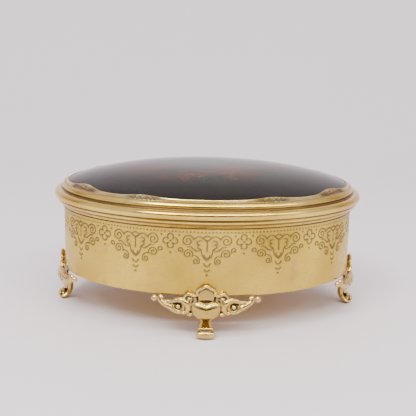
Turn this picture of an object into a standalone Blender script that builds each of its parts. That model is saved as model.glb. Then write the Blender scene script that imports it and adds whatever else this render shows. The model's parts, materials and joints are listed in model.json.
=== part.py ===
"""Oval gilt music box on four scroll feet, with a hinged enamel lid, a musical movement and a jewel well.

The origin is on the resting plane under the middle of the oval. +X runs along the long axis towards the
jewel well, +Y points to the hinge and +Z is up. Every length below is in millimetres.
"""

import math

import bmesh
import bpy
from mathutils import Matrix, Vector

MM = 0.001

# ---------------------------------------------------------------- driving dimensions (mm)
WALL_A = 72.0  # half length of the oval wall
WALL_B = 54.0  # half depth of the oval wall
FLOOR_Z = 20.0  # lower edge of the wall above the resting plane
OVAL_STEPS = 48

GAP = 0.3  # between faces that touch on the real object
SHAFT_FIT = 0.15  # radial room of a wheel on its own arbor
RUNNING = 0.2  # radial room of a turning shaft in a bearing

WALL_T = 1.4
BASE_T = 1.2
LEDGE_IN = 5.6  # how far the base ledge reaches in from the wall's outer face
LEDGE_T = 1.2
BASE_SCREW_IN = 3.8
BASE_SCREW_DEG = (40, 140, 220, 320)

BEDPLATE_T = 1.6
BARREL_R = 13.2
BARREL_WALL = 2.0
BARREL_H = 9.0
PILLAR_OUT = 2.6  # from the drum to the middle of a bridge pillar
RATCHET_R = 5.5
SCREW_HEAD_R = 1.7
CLICK_TIP_Y = 4.35  # the click's tip, just clear of the ratchet's teeth
CROWN_TEETH = 36
PINION_TEETH = 12
CYLINDER_R = 6.5
CYLINDER_LEN = 19.0
PIN_H = 0.5
PIN_HALF = 0.22
PIN_STEP = 0.382  # turns from one track's pin to the next
TRACKS = 18
GREAT_TEETH = 32
GOVERNOR_TEETH = 8
GEAR_MODULE = 0.52
WORM_TEETH = 20
WORM_MODULE = 0.5
WORM_R = 1.2
GOVERNOR_DROP_DEG = 29.0
FLY_R = 5.0
FLY_H = 4.0
STOP_TRAVEL = 1.5
STOP_SPRING_FREE = 8.9
KEY_SPAN = 21.0
KEY_DROP = 10.5

DECK_CLEAR = 1.0  # from the great wheel's top to the deck
DECK_T = 1.2
RIM_RISE = 6.6  # from the deck's top to the wall's top
LIP_H = 2.2
LIP_OUT_D = -1.5
LIP_T = 0.8
DIVIDER_HALF = 1.9  # deck left bare on each side of the start pin's middle
FRAME_W = 3.0
FLANGE_W = 1.8
WINDOW_IN = 8.0
WELL_IN = 8.2

KNUCKLE_R = 1.4
HINGE_PIN_R = 0.7
HINGE_LEN = 30.0
NOTCH_D = 1.0  # the hinge's notch reaches in to this far from the wall's face
LEAF_T = 0.9
KNUCKLES = 5
HINGE_BACK = 4.9  # hinge axis behind the wall's outer face

FOOT_HALF = 24.6  # arc length from the middle of a foot to a wing's end
FOOT_RISE = 6.0  # the foot's peak above the wall's lower edge

SEAT_RISE = 5.0  # the flange under the plaque, above the lid's lower edge
LID_RIM_RISE = 7.1
BOARD_DROP = 2.2  # from the flange's top to the lid board
PLAQUE_EDGE_IN = 1.2
PLAQUE_EDGE_RISE = 7.0
PLAQUE_RISE = 9.8
PLAQUE_POWER = 2.7  # how full the dome is towards its edge
PLAQUE_T = 2.0
SCALLOP_IN = 2.4
SCALLOP_LOBES = ((24.5, 7.0, 1.4), (57.5, 8.5, 2.9))  # degrees from front or back, half width, depth

# ---------------------------------------------------------------- heights that follow from them
BASE_Z = FLOOR_Z + GAP
BASE_TOP = BASE_Z + BASE_T
LEDGE_Z = BASE_TOP + GAP
BED_Z = BASE_TOP + GAP
BED_TOP = BED_Z + BEDPLATE_T
BARREL_Z = BED_TOP + 0.6
CROWN_Z = BARREL_Z + BARREL_H  # top of the drum, where the crown teeth stand

CROWN_MEAN_R = BARREL_R - BARREL_WALL / 2
CROWN_MODULE = 2 * CROWN_MEAN_R / CROWN_TEETH
PINION_R = CROWN_MODULE * PINION_TEETH / 2
TOOTH_ADD = 0.8  # addendum in modules
TOOTH_DED = 1.1  # dedendum in modules
CROWN_PITCH_Z = CROWN_Z + TOOTH_DED * CROWN_MODULE
AXIS_Z = CROWN_PITCH_Z + PINION_R  # height of the cylinder's arbor

GREAT_R = GEAR_MODULE * GREAT_TEETH / 2
GOV_PINION_R = GEAR_MODULE * GOVERNOR_TEETH / 2
GOV_DIST = GREAT_R + GOV_PINION_R
GOV_Y = GOV_DIST * math.cos(math.radians(GOVERNOR_DROP_DEG))
GOV_Z = AXIS_Z - GOV_DIST * math.sin(math.radians(GOVERNOR_DROP_DEG))
WORM_WHEEL_R = WORM_MODULE * WORM_TEETH / 2
FLY_Y = GOV_Y + WORM_WHEEL_R + WORM_R

DECK_Z = AXIS_Z + GREAT_R + TOOTH_ADD * GEAR_MODULE + DECK_CLEAR
DECK_TOP = DECK_Z + DECK_T
WALL_TOP = DECK_TOP + RIM_RISE
LID_Z = WALL_TOP + GAP
SEAT_Z = LID_Z + SEAT_RISE
BOARD_Z = SEAT_Z - BOARD_DROP

# ---------------------------------------------------------------- places along the movement (mm)
LOBE_R = BARREL_R + 5.3
PILLAR_Y = BARREL_R + PILLAR_OUT
CLICK_Y = (RATCHET_R + PILLAR_Y - SCREW_HEAD_R) / 2 + 0.4
BARREL_X = -(WALL_A - LEDGE_IN - GAP - LOBE_R)
MESH_X = BARREL_X + CROWN_MEAN_R
PINION_W = 2.4
BRACKET_T = 1.2
LEFT_BRACKET_X = MESH_X + PINION_W / 2 + 0.8
CYLINDER_X = LEFT_BRACKET_X + BRACKET_T + 0.8
CYLINDER_END = CYLINDER_X + CYLINDER_LEN
WHEEL_W = 1.2
GREAT_X = CYLINDER_END + 0.7
RIGHT_BRACKET_X = GREAT_X + WHEEL_W + 1.0
WORM_WHEEL_X = RIGHT_BRACKET_X + BRACKET_T + 1.0
FLY_X = WORM_WHEEL_X + WHEEL_W / 2
LEFT_CHEEK_X = GREAT_X - 2.6
RIGHT_CHEEK_X = WORM_WHEEL_X + WHEEL_W + 1.0
BED_RIGHT = RIGHT_CHEEK_X + BRACKET_T + 3.2
STOP_X = BED_RIGHT + 1.4
STOP_Y = WALL_B - 9.2
WINDOW_X = STOP_X - DIVIDER_HALF - FRAME_W
WELL_X = STOP_X + DIVIDER_HALF + FLANGE_W

COMB_T = 1.2
COMB_TIP_Y = -(CYLINDER_R + PIN_H + 0.35)
COMB_LEN = 21.0
COMB_BASE_LEN = 11.0

DISC_Z = GOV_Z + 10.0
SHOE_Z = DISC_Z + 0.6 + GAP


# ---------------------------------------------------------------- outlines
def oval(d, steps=OVAL_STEPS, a=None, b=None):
    """Points round the oval wall, moved out by d along the wall's normal."""
    a, b = a or WALL_A, b or WALL_B
    points = []
    for i in range(steps):
        t = 2 * math.pi * i / steps
        normal = Vector((b * math.cos(t), a * math.sin(t))).normalized()
        points.append(Vector((a * math.cos(t), b * math.sin(t))) + normal * d)
    return points


def oval_point(deg, d):
    """The point at a parametric angle on the oval, moved out by d."""
    t = math.radians(deg)
    normal = Vector((WALL_B * math.cos(t), WALL_A * math.sin(t))).normalized()
    return Vector((WALL_A * math.cos(t), WALL_B * math.sin(t))) + normal * d


def circle(r, steps, centre=(0.0, 0.0), turn=0.0):
    return [
        Vector((centre[0] + r * math.cos(turn + 2 * math.pi * i / steps),
                centre[1] + r * math.sin(turn + 2 * math.pi * i / steps)))
        for i in range(steps)
    ]


def part_oval(side, cut_x, inset, grow, steps=18, corner=5.0):
    """The part of the inset oval beyond x = cut_x on one side (+1 right, -1 left), with round corners.
    grow moves the whole outline out, so that nested outlines keep one point count."""
    a, b = WALL_A - inset + grow, WALL_B - inset + grow
    limit = math.acos(max(-0.95, min(0.95, (side * cut_x - grow) / a)))
    reach = limit - corner / b
    points = [Vector((a * math.cos(t), b * math.sin(t)))
              for t in (-reach + 2 * reach * i / steps for i in range(steps + 1))]
    start, tip = points[-1], Vector((a * math.cos(limit), b * math.sin(limit)))
    end = tip - Vector((0, corner))
    bend = [start.lerp(tip, share).lerp(tip.lerp(end, share), share) for share in (0.34, 0.67, 1.0)]
    points += bend + [Vector((p.x, -p.y)) for p in reversed(bend)]
    points = [Vector((side * p.x, p.y)) for p in points]
    return points if side > 0 else list(reversed(points))


def gear_outline(teeth, module, tip, root, turn=0.0):
    """A spur wheel's outline with straight-sided teeth, thinned for running room."""
    pitch_r = module * teeth / 2
    step = 2 * math.pi / teeth
    tip_r, root_r = pitch_r + TOOTH_ADD * module, pitch_r - TOOTH_DED * module
    points = []
    for i in range(teeth):
        middle = turn + step * i
        for share, r in ((-root / 2, root_r), (-tip / 2, tip_r), (tip / 2, tip_r), (root / 2, root_r)):
            angle = middle + share * step
            points.append(Vector((r * math.cos(angle), r * math.sin(angle))))
    return points


# ---------------------------------------------------------------- mesh tools
def material(name, colour, metallic, roughness):
    made = bpy.data.materials.new(name)
    made.use_nodes = True
    shader = made.node_tree.nodes["Principled BSDF"]
    shader.inputs["Base Color"].default_value = (*colour, 1.0)
    shader.inputs["Metallic"].default_value = metallic
    shader.inputs["Roughness"].default_value = roughness
    return made


def add(name, bm, finish, parent=None, place=None):
    """Makes an object of a bmesh that is in millimetres, moved by place first."""
    if place is not None:
        bm.transform(place)
    bmesh.ops.remove_doubles(bm, verts=bm.verts, dist=1e-5)
    bmesh.ops.recalc_face_normals(bm, faces=bm.faces)
    bm.transform(Matrix.Scale(MM, 4))
    mesh = bpy.data.meshes.new(name)
    bm.to_mesh(mesh)
    bm.free()
    mesh.shade_smooth()
    mesh.set_sharp_from_angle(angle=math.radians(35))
    if finish:
        mesh.materials.append(finish)
    obj = bpy.data.objects.new(name, mesh)
    bpy.context.scene.collection.objects.link(obj)
    if parent is not None:
        obj.parent = parent
        obj.matrix_parent_inverse = parent.matrix_world.inverted()
    return obj


def skin(loops, capped=True, wrapped=False):
    """A surface through loops of equal point counts. Loops are lists of 3D points."""
    bm = bmesh.new()
    rows = [[bm.verts.new(p) for p in loop] for loop in loops]
    pairs = list(zip(rows, rows[1:]))
    if wrapped:
        pairs.append((rows[-1], rows[0]))
    for low, high in pairs:
        for i in range(len(low)):
            j = (i + 1) % len(low)
            bm.faces.new((low[i], low[j], high[j], high[i]))
    if capped and not wrapped:
        bm.faces.new(rows[0])
        bm.faces.new(list(reversed(rows[-1])))
    return bm


def at_height(outline, z):
    return [Vector((p.x, p.y, z)) for p in outline]


def ring(profile, outline):
    """A closed ring: profile is a loop of (offset, height), outline(offset) gives the points round it."""
    return skin([at_height(outline(d), z) for d, z in profile], wrapped=True)


def prism(outline, z0, z1):
    bm = bmesh.new()
    face = bm.faces.new([bm.verts.new((p.x, p.y, z0)) for p in outline])
    made = bmesh.ops.extrude_face_region(bm, geom=[face])
    moved = [v for v in made["geom"] if isinstance(v, bmesh.types.BMVert)]
    bmesh.ops.translate(bm, vec=(0, 0, z1 - z0), verts=moved)
    return bm


def lathe(profile, steps):
    """Turns a closed loop of (radius, height) round Z."""
    bm = bmesh.new()
    verts = [bm.verts.new((r, 0, z)) for r, z in profile]
    edges = [bm.edges.new((verts[i], verts[(i + 1) % len(verts)])) for i in range(len(verts))]
    bmesh.ops.spin(bm, geom=verts + edges, axis=(0, 0, 1), cent=(0, 0, 0), angle=2 * math.pi,
                   steps=steps, use_merge=True)
    return bm


def rod(r, z0, z1, steps=12):
    return prism(circle(r, steps), z0, z1)


def box(x0, x1, y0, y1, z0, z1):
    return prism([Vector((x0, y0)), Vector((x1, y0)), Vector((x1, y1)), Vector((x0, y1))], z0, z1)


def shift(x=0.0, y=0.0, z=0.0):
    return Matrix.Translation((x, y, z))


def along_x(x, y, z):
    """Places a shape made round Z so that it runs along +X from x, about the line y, z."""
    return Matrix.Translation((x, y, z)) @ Matrix.Rotation(math.pi / 2, 4, "Y")


def combine(target, bm, operation, place=None):
    """Joins a bmesh to an object, or cuts it away, with a Boolean modifier."""
    helper = add(f"{target.name}_{operation.lower()}_{len(target.modifiers)}", bm, None, place=place)
    helper.hide_render = True
    helper.display_type = "WIRE"
    modifier = target.modifiers.new(operation.title(), "BOOLEAN")
    modifier.operation = operation
    modifier.solver = "EXACT"
    modifier.object = helper


def cut(target, bm, place=None):
    combine(target, bm, "DIFFERENCE", place)


def join(target, bm, place=None):
    combine(target, bm, "UNION", place)


def pivot(name, x, y, z):
    """An empty on a joint's axis, which carries that joint's pieces."""
    made = bpy.data.objects.new(name, None)
    made.location = (x * MM, y * MM, z * MM)
    bpy.context.scene.collection.objects.link(made)
    bpy.context.view_layer.update()
    return made


def screw(name, x, y, head_z, length, finish, head_r=SCREW_HEAD_R, shank_r=0.8, upside_down=False):
    """A cheese-head screw with a slot; its head's underside is at head_z."""
    head_h = 1.0
    profile = [(0, -length), (shank_r, -length), (shank_r, 0), (head_r, 0), (head_r, head_h), (0, head_h)]
    bm = lathe(profile, 10)
    turn = Matrix.Rotation(math.pi, 4, "X") if upside_down else Matrix.Identity(4)
    place = shift(x, y, head_z) @ turn
    obj = add(name, bm, finish, place=place)
    cut(obj, box(-head_r * 1.2, head_r * 1.2, -0.25, 0.25, head_h * 0.55, head_h * 1.5), place=place)
    return obj


def hinge_notch(z0, z1):
    """The room that the mouldings leave for the hinge."""
    half = HINGE_LEN / 2 + GAP
    return box(-half, half, WALL_B + NOTCH_D, WALL_B + 3 * HINGE_BACK, z0, z1)


# ---------------------------------------------------------------- the case
def build_shell(gilt):
    """The oval wall with its base ledge, deck ledge, flared collar and the lip that locates the lid."""
    inner, lip_in = -WALL_T, LIP_OUT_D - LIP_T
    top = WALL_TOP
    profile = [
        (-0.2, FLOOR_Z), (0.0, FLOOR_Z + 0.4), (0.0, top - 4.8), (0.9, top - 3.8), (2.8, top - 1.6),
        (3.1, top - 0.5), (2.9, top), (LIP_OUT_D, top), (LIP_OUT_D, top + LIP_H), (lip_in, top + LIP_H),
        (lip_in, DECK_Z - GAP), (-4.3, DECK_Z - GAP), (inner, DECK_Z - GAP - 3.1),
        (inner, LEDGE_Z + LEDGE_T), (-LEDGE_IN, LEDGE_Z + LEDGE_T), (-LEDGE_IN, LEDGE_Z), (inner, LEDGE_Z),
        (inner, FLOOR_Z),
    ]
    shell = add("body_shell", ring(profile, oval), gilt)
    for deg in BASE_SCREW_DEG:
        at = oval_point(deg, -BASE_SCREW_IN)
        cut(shell, rod(0.8 + GAP, LEDGE_Z - 1, LEDGE_Z + LEDGE_T + 1), place=shift(at.x, at.y))
    cut(shell, hinge_notch(top - 4.6, top + 1))


def build_base(gilt, steel):
    plate = add("base_plate", prism(oval(-WALL_T - GAP, 40), BASE_Z, BASE_TOP), gilt)
    cut(plate, rod(3.2, BASE_Z - 1, BASE_TOP + 1, 16), place=shift(BARREL_X, 0))
    for number, deg in enumerate(BASE_SCREW_DEG, 1):
        at = oval_point(deg, -BASE_SCREW_IN)
        cut(plate, rod(0.8 + GAP, BASE_Z - 1, BASE_TOP + 1), place=shift(at.x, at.y))
        length = BASE_T + LEDGE_T + 1.2
        screw(f"base_screw_{number}", at.x, at.y, BASE_Z - GAP, length, steel, upside_down=True)
    for number, (x, y) in enumerate(movement_screw_places(), 1):
        cut(plate, rod(0.9 + GAP, BASE_Z - 1, BASE_TOP + 1), place=shift(x, y))
        screw(f"movement_screw_{number}", x, y, BASE_Z - GAP, BASE_T + BEDPLATE_T + 0.9, steel,
              head_r=1.9, shank_r=0.9, upside_down=True)


def movement_screw_places():
    return ((CYLINDER_X + 2.0, 14.0), (CYLINDER_END - 1.0, -12.5))


# ---------------------------------------------------------------- the feet
def wall_frame(start, s, out, z):
    """A point s along the wall from a parametric angle, out from its face, at height z."""
    t, left = math.radians(start), s
    stride = 0.5 if s > 0 else -0.5
    while abs(left) > 1e-9:
        here = stride if abs(left) > abs(stride) else left
        t += here / math.hypot(WALL_A * math.sin(t), WALL_B * math.cos(t))
        left -= here
    spot = oval_point(math.degrees(t), out)
    return Vector((spot.x, spot.y, z))


def foot_edges(s):
    """Lower and upper edge of the foot's mask, measured from the wall's lower edge, at arc length s."""
    k = abs(s) / FOOT_HALF
    upper = (
        (0.0, FOOT_RISE), (0.07, 5.0), (0.15, 3.4), (0.19, 0.9), (0.26, 0.7), (0.32, 2.0), (0.40, -0.8),
        (0.50, -0.9), (0.63, -2.8), (0.74, -2.3), (0.86, -1.0), (1.0, -0.4),
    )
    lower = (
        (0.0, -9.0), (0.22, -8.6), (0.36, -7.9), (0.50, -8.3), (0.62, -6.6), (0.70, -4.7), (0.84, -3.1),
        (1.0, -2.3),
    )
    return interpolate(lower, k), interpolate(upper, k)


def interpolate(table, k):
    for (k0, v0), (k1, v1) in zip(table, table[1:]):
        if k <= k1:
            return v0 + (v1 - v0) * (k - k0) / (k1 - k0)
    return table[-1][1]


def foot_leg(start):
    """The leg from the knee to the toe, which is cut flat on the resting plane."""
    # Each station: out from the wall, share of the wall's clearance, half width, half thickness.
    path = ((0.2, 0.77, 4.6, 1.9), (-1.2, 0.47, 3.2, 1.8), (-2.1, 0.31, 2.5, 1.6), (-1.7, 0.18, 3.0, 1.7),
            (-0.4, 0.05, 3.8, 1.9), (1.9, 0.055, 4.2, 1.9), (2.9, 0.16, 3.9, 1.2))
    rows = []
    for i, (out, share, half, thick) in enumerate(path):
        before, after = path[max(i - 1, 0)], path[min(i + 1, len(path) - 1)]
        along = Vector((after[0] - before[0], (after[1] - before[1]) * FLOOR_Z)).normalized()
        row = []
        for k in range(8):
            angle = 2 * math.pi * k / 8
            side, depth = half * math.cos(angle), thick * math.sin(angle)
            z = max(0.0, share * FLOOR_Z - along.x * depth)
            row.append(wall_frame(start, side, out + along.y * depth, z))
        rows.append(row)
    return skin(rows)


def build_foot(name, start, gilt):
    """A cast foot: a mask bent along the wall, a round knee and a scrolled leg, fitted to the wall."""
    stations = [0.0, 0.07, 0.15, 0.19, 0.26, 0.32, 0.40, 0.50, 0.63, 0.74, 0.86, 1.0]
    arcs = [-FOOT_HALF * k for k in reversed(stations)] + [FOOT_HALF * k for k in stations[1:]]
    loops = []
    for s in arcs:
        low, high = foot_edges(s)
        loops.append([wall_frame(start, s, out, FLOOR_Z + z)
                      for out, z in ((GAP, low), (2.1, low), (2.1, high), (GAP, high))])
    foot = add(name, skin(loops), gilt)

    def ellipsoid(centre, radii, rows=5, steps=9):
        shape = bmesh.new()
        bmesh.ops.create_uvsphere(shape, u_segments=steps, v_segments=rows, radius=1.0)
        for v in shape.verts:
            s, out, z = (c + r * x for c, r, x in zip(centre, radii, v.co))
            v.co = wall_frame(start, s, out, z)
        return shape

    join(foot, ellipsoid((0, 0.6, FLOOR_Z - 5.6), (6.7, 3.2, 5.4)))
    for side in (-1, 1):
        join(foot, ellipsoid((side * (FOOT_HALF - 0.6), 1.7, FLOOR_Z - 1.5), (1.5, 1.4, 1.4), 4, 6))
    join(foot, foot_leg(start))
    cut(foot, prism(oval(GAP, 96), FLOOR_Z - GAP, FLOOR_Z + 3 * FOOT_RISE))
    return foot


# ---------------------------------------------------------------- deck, window and jewel well
def build_deck(gilt, glass, velvet, padding):
    deck = add("deck_plate", prism(oval(LIP_OUT_D - LIP_T - GAP), DECK_Z, DECK_TOP), gilt)

    def window(grow):
        return part_oval(-1, WINDOW_X, WINDOW_IN, grow)

    def well(grow):
        return part_oval(1, WELL_X, WELL_IN, grow)

    cut(deck, prism(window(0), DECK_Z - 1, DECK_TOP + 1))
    cut(deck, prism(well(0), DECK_Z - 1, DECK_TOP + 1))
    cut(deck, rod(1.0 + RUNNING, DECK_Z - 1, DECK_TOP + 1), place=shift(STOP_X, STOP_Y))

    pane_z = DECK_TOP + GAP
    pane_t = 1.4
    add("window_pane", prism(window(1.5), pane_z, pane_z + pane_t), glass)
    frame = [(1.5 + GAP, pane_z), (FRAME_W, pane_z), (FRAME_W, pane_z + 1.6), (FRAME_W - 0.6, pane_z + 2.4),
             (0.2, pane_z + 2.4), (0.2, pane_z + pane_t + GAP), (1.5 + GAP, pane_z + pane_t + GAP)]
    add("window_frame", ring(frame, window), gilt)

    floor_z = LEDGE_Z + LEDGE_T + GAP
    lip_z = DECK_TOP + GAP
    wall_out, wall_in = -GAP, -GAP - 1.2
    loops = [(wall_out, floor_z), (wall_out, lip_z), (FLANGE_W, lip_z), (FLANGE_W, lip_z + 0.8),
             (wall_in, lip_z + 0.8), (wall_in, floor_z + 1.2)]
    add("well_liner", skin([at_height(well(d), z) for d, z in loops]), velvet)
    pad_z = floor_z + 1.2 + GAP
    pad = [(wall_in - GAP - 0.8, pad_z), (wall_in - GAP, pad_z + 0.8), (wall_in - GAP, pad_z + 2.6),
           (wall_in - GAP - 1.4, pad_z + 3.8)]
    add("well_pad", skin([at_height(well(d), z) for d, z in pad]), padding)


# ---------------------------------------------------------------- the lid
def dome_height(x, y):
    """Top surface of the enamel plaque."""
    rho = math.hypot(x / (WALL_A - PLAQUE_EDGE_IN), y / (WALL_B - PLAQUE_EDGE_IN))
    return LID_Z + PLAQUE_EDGE_RISE + PLAQUE_RISE * (1 - min(rho, 1.0) ** PLAQUE_POWER)


def dome_ring(d, share, below, steps=40):
    """Points round the plaque at a share of its width, below its top but not under its seat."""
    spots = [p * share for p in oval(d, steps)]
    return [Vector((p.x, p.y, max(SEAT_Z + GAP, dome_height(*p) - below))) for p in spots]


def scallop(t):
    """How far the bezel's inner edge lies in from the wall at parametric angle t."""
    reach = SCALLOP_IN
    for lobe, width, depth in SCALLOP_LOBES:
        for centre in (270 - lobe, 270 + lobe, 90 - lobe, 90 + lobe):
            away = (math.degrees(t) - centre + 180) % 360 - 180
            reach += depth * math.exp(-((away / width) ** 2))
    return reach


def build_lid(gilt, enamel, velvet, padding, parent):
    z, seat, rim = LID_Z, SEAT_Z, LID_Z + LID_RIM_RISE
    rim_in = -PLAQUE_EDGE_IN + GAP
    profile = [
        (LIP_OUT_D + GAP, z), (3.4, z), (4.5, z + 1.2), (4.3, z + 2.7), (3.0, z + 3.8), (1.0, z + 4.1),
        (0.6, z + 4.6), (0.6, rim - 1.7), (0.1, rim - 0.6), (rim_in + 0.3, rim), (rim_in, rim),
        (rim_in, seat), (-3.5, seat), (-3.5, seat - 1.0), (LIP_OUT_D + GAP, seat - 2.4),
    ]
    frame = add("lid_frame", ring(profile, oval), gilt, parent)
    cut(frame, hinge_notch(z - 1, z + 4.4))

    edge = -PLAQUE_EDGE_IN
    under = [dome_ring(edge, share, PLAQUE_T) for share in (0.15, 0.45, 0.75, 1.0)]
    over = [dome_ring(edge, share, 0.0) for share in (1.0, 0.75, 0.45, 0.15)]
    add("enamel_plaque", skin(under + over), enamel, parent)

    steps = 72
    rows = [[], [], [], [], []]
    for i in range(steps):
        t = 2 * math.pi * i / steps
        deg = math.degrees(t)
        reach = scallop(t)
        middle = (PLAQUE_EDGE_IN + reach) / 2
        edges = ((PLAQUE_EDGE_IN, 0.0), (reach, 0.0), (reach, 0.5), (middle, 0.8), (PLAQUE_EDGE_IN, 0.7))
        for row, (inward, rise) in zip(rows, edges):
            at = oval_point(deg, -inward)
            row.append(Vector((at.x, at.y, dome_height(*at) + GAP + rise)))
    add("lid_bezel", skin(rows, wrapped=True), gilt, parent)

    add("lid_board", prism(oval(-3.9, 40), BOARD_Z, BOARD_Z + 0.9), velvet, parent)
    pad_top = BOARD_Z - GAP
    pad = [(-12.8, pad_top), (-12.0, pad_top - 0.8), (-12.2, pad_top - 1.8), (-14.0, pad_top - 2.6)]
    add("lid_pad", skin([at_height(oval(d, 36), h) for d, h in pad]), padding, parent)


# ---------------------------------------------------------------- the hinge
def build_hinge(gilt, steel, lid):
    """Five knuckles on one pin: three belong to the case's leaf, two to the lid's."""
    axis_y, axis_z = WALL_B + HINGE_BACK, WALL_TOP + GAP / 2
    span = HINGE_LEN / KNUCKLES
    leaf_y = WALL_B + NOTCH_D + GAP

    def leaf(name, first, side, height, parent):
        """A plate against the moulding, on one side (-1 below, +1 above) of the axis, with knuckles."""
        low, high = sorted((axis_z + side * 0.4, axis_z + side * height))
        edge = HINGE_LEN / 2 - GAP
        made = add(name, box(-edge, edge, leaf_y, leaf_y + LEAF_T, low, high), gilt, parent)
        low, high = sorted((axis_z + side * 0.42, axis_z + side * 1.3))
        for number in range(first, KNUCKLES, 2):
            x0 = -HINGE_LEN / 2 + number * span + GAP / 2
            join(made, box(x0, x0 + span - GAP, leaf_y + 0.1, axis_y - 0.1, low, high))
            join(made, rod(KNUCKLE_R, 0, span - GAP, 10), place=along_x(x0, axis_y, axis_z))
        cut(made, rod(HINGE_PIN_R + RUNNING, -1, HINGE_LEN + 2, 10),
            place=along_x(-HINGE_LEN / 2, axis_y, axis_z))

    leaf("hinge_leaf_case", 0, -1, 4.4, None)
    leaf("hinge_leaf_lid", 1, 1, 3.6, lid)
    add("hinge_pin", rod(HINGE_PIN_R, 0, HINGE_LEN - 1.0, 10), steel,
        place=along_x(-HINGE_LEN / 2 + 0.5, axis_y, axis_z))


# ---------------------------------------------------------------- the movement's frame
def build_bedplate(brass):
    left = [Vector((BARREL_X + LOBE_R * math.cos(a), LOBE_R * math.sin(a)))
            for a in (math.radians(100 + 16 * i) for i in range(11))]
    front = -(CYLINDER_R + COMB_LEN + 3.6)
    rest = [Vector(p) for p in (
        (CYLINDER_X - 2.0, front + 4), (CYLINDER_X + 1.0, front), (CYLINDER_END + 1.5, front),
        (BED_RIGHT, front + 9), (BED_RIGHT, FLY_Y + 12.0), (LEFT_CHEEK_X - 3.0, FLY_Y + 12.0),
        (LEFT_CHEEK_X - 8.0, LOBE_R))]
    plate = add("bedplate", prism(left + rest, BED_Z, BED_TOP), brass)
    cut(plate, rod(2.4, BED_Z - 1, BED_TOP + 1, 14), place=shift(BARREL_X, 0))
    for x, y in movement_screw_places():
        cut(plate, rod(0.9 + GAP, BED_Z - 1, BED_TOP + 1), place=shift(x, y))


def build_bracket(name, x, brass, foot_dir):
    """An upright that carries the cylinder's arbor."""
    z0, height = BED_TOP + GAP, AXIS_Z + 2.6
    upright = [Vector((z0, -3.6)), Vector((AXIS_Z, -3.0)), Vector((height, -1.6)), Vector((height, 1.6)),
               Vector((AXIS_Z, 3.0)), Vector((z0, 3.6))]
    bm = bmesh.new()
    face = bm.faces.new([bm.verts.new((x, p.y, p.x)) for p in upright])
    made = bmesh.ops.extrude_face_region(bm, geom=[face])
    moved = [v for v in made["geom"] if isinstance(v, bmesh.types.BMVert)]
    bmesh.ops.translate(bm, vec=(BRACKET_T, 0, 0), verts=moved)
    bracket = add(name, bm, brass)
    if foot_dir:
        join(bracket, box(x + 0.2, x + BRACKET_T - 0.2, -6.2, 6.2, z0, z0 + 2.0))
    cut(bracket, rod(1.0 + RUNNING, -1, BRACKET_T + 1, 12), place=along_x(x, 0, AXIS_Z))
    return bracket


def build_bridge(brass, steel):
    """The bar over the barrel on two pillars, with the click that holds the ratchet wheel."""
    z0 = CROWN_PITCH_Z + TOOTH_ADD * CROWN_MODULE + 0.5
    side, end = PILLAR_Y + 1.2, PILLAR_Y + 2.4
    outline = [Vector((BARREL_X + x, y)) for x, y in (
        (-3.6, -side), (-2.2, -end), (2.2, -end), (3.6, -side),
        (3.6, side), (2.2, end), (-2.2, end), (-3.6, side))]
    bridge = add("barrel_bridge", prism(outline, z0, z0 + 1.6), brass)
    cut(bridge, rod(1.7 + RUNNING, z0 - 1, z0 + 3, 14), place=shift(BARREL_X, 0))
    for number, y in enumerate((-PILLAR_Y, PILLAR_Y), 1):
        join(bridge, rod(2.0, BED_TOP + GAP, z0 + 0.4, 12), place=shift(BARREL_X, y))
        cut(bridge, rod(0.8 + GAP, z0 - 4.0, z0 + 3, 12), place=shift(BARREL_X, y))
        screw(f"bridge_screw_{number}", BARREL_X, y, z0 + 1.6 + GAP, 4.6, steel)
    return z0 + 1.6


def build_comb(steel, brass):
    """The comb and the block that it is screwed to."""
    z = AXIS_Z - COMB_T / 2
    left, right = CYLINDER_X, CYLINDER_END
    pitch = (right - left) / TRACKS
    rear = COMB_TIP_Y - COMB_LEN
    outline = [Vector((left, rear)), Vector((right, rear))]
    slot = 0.32
    for i in reversed(range(TRACKS)):
        depth = 15.5 - 6.5 * i / (TRACKS - 1)
        x0, x1 = left + i * pitch, left + (i + 1) * pitch
        outline += [Vector((x1 - slot / 2, COMB_TIP_Y)), Vector((x0 + slot / 2, COMB_TIP_Y))]
        if i:
            root = COMB_TIP_Y - depth
            outline += [Vector((x0 + slot / 2, root)), Vector((x0 - slot / 2, root))]
    outline[2].x, outline[-1].x = right, left
    comb = add("comb", prism(outline, z, z + COMB_T), steel)
    base_front = rear + COMB_BASE_LEN - 6.0
    block = box(left - 0.6, right + 0.6, rear - 0.4, base_front, BED_TOP + GAP, z - GAP)
    base = add("comb_base", block, brass)
    for number, x in enumerate((left + 3.5, right - 3.5), 1):
        y = rear + 2.4
        for piece in (comb, base):
            cut(piece, rod(0.8 + GAP, z - 6.5, z + COMB_T + 1, 12), place=shift(x, y))
        screw(f"comb_screw_{number}", x, y, z + COMB_T + GAP, 6.0, steel)


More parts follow.
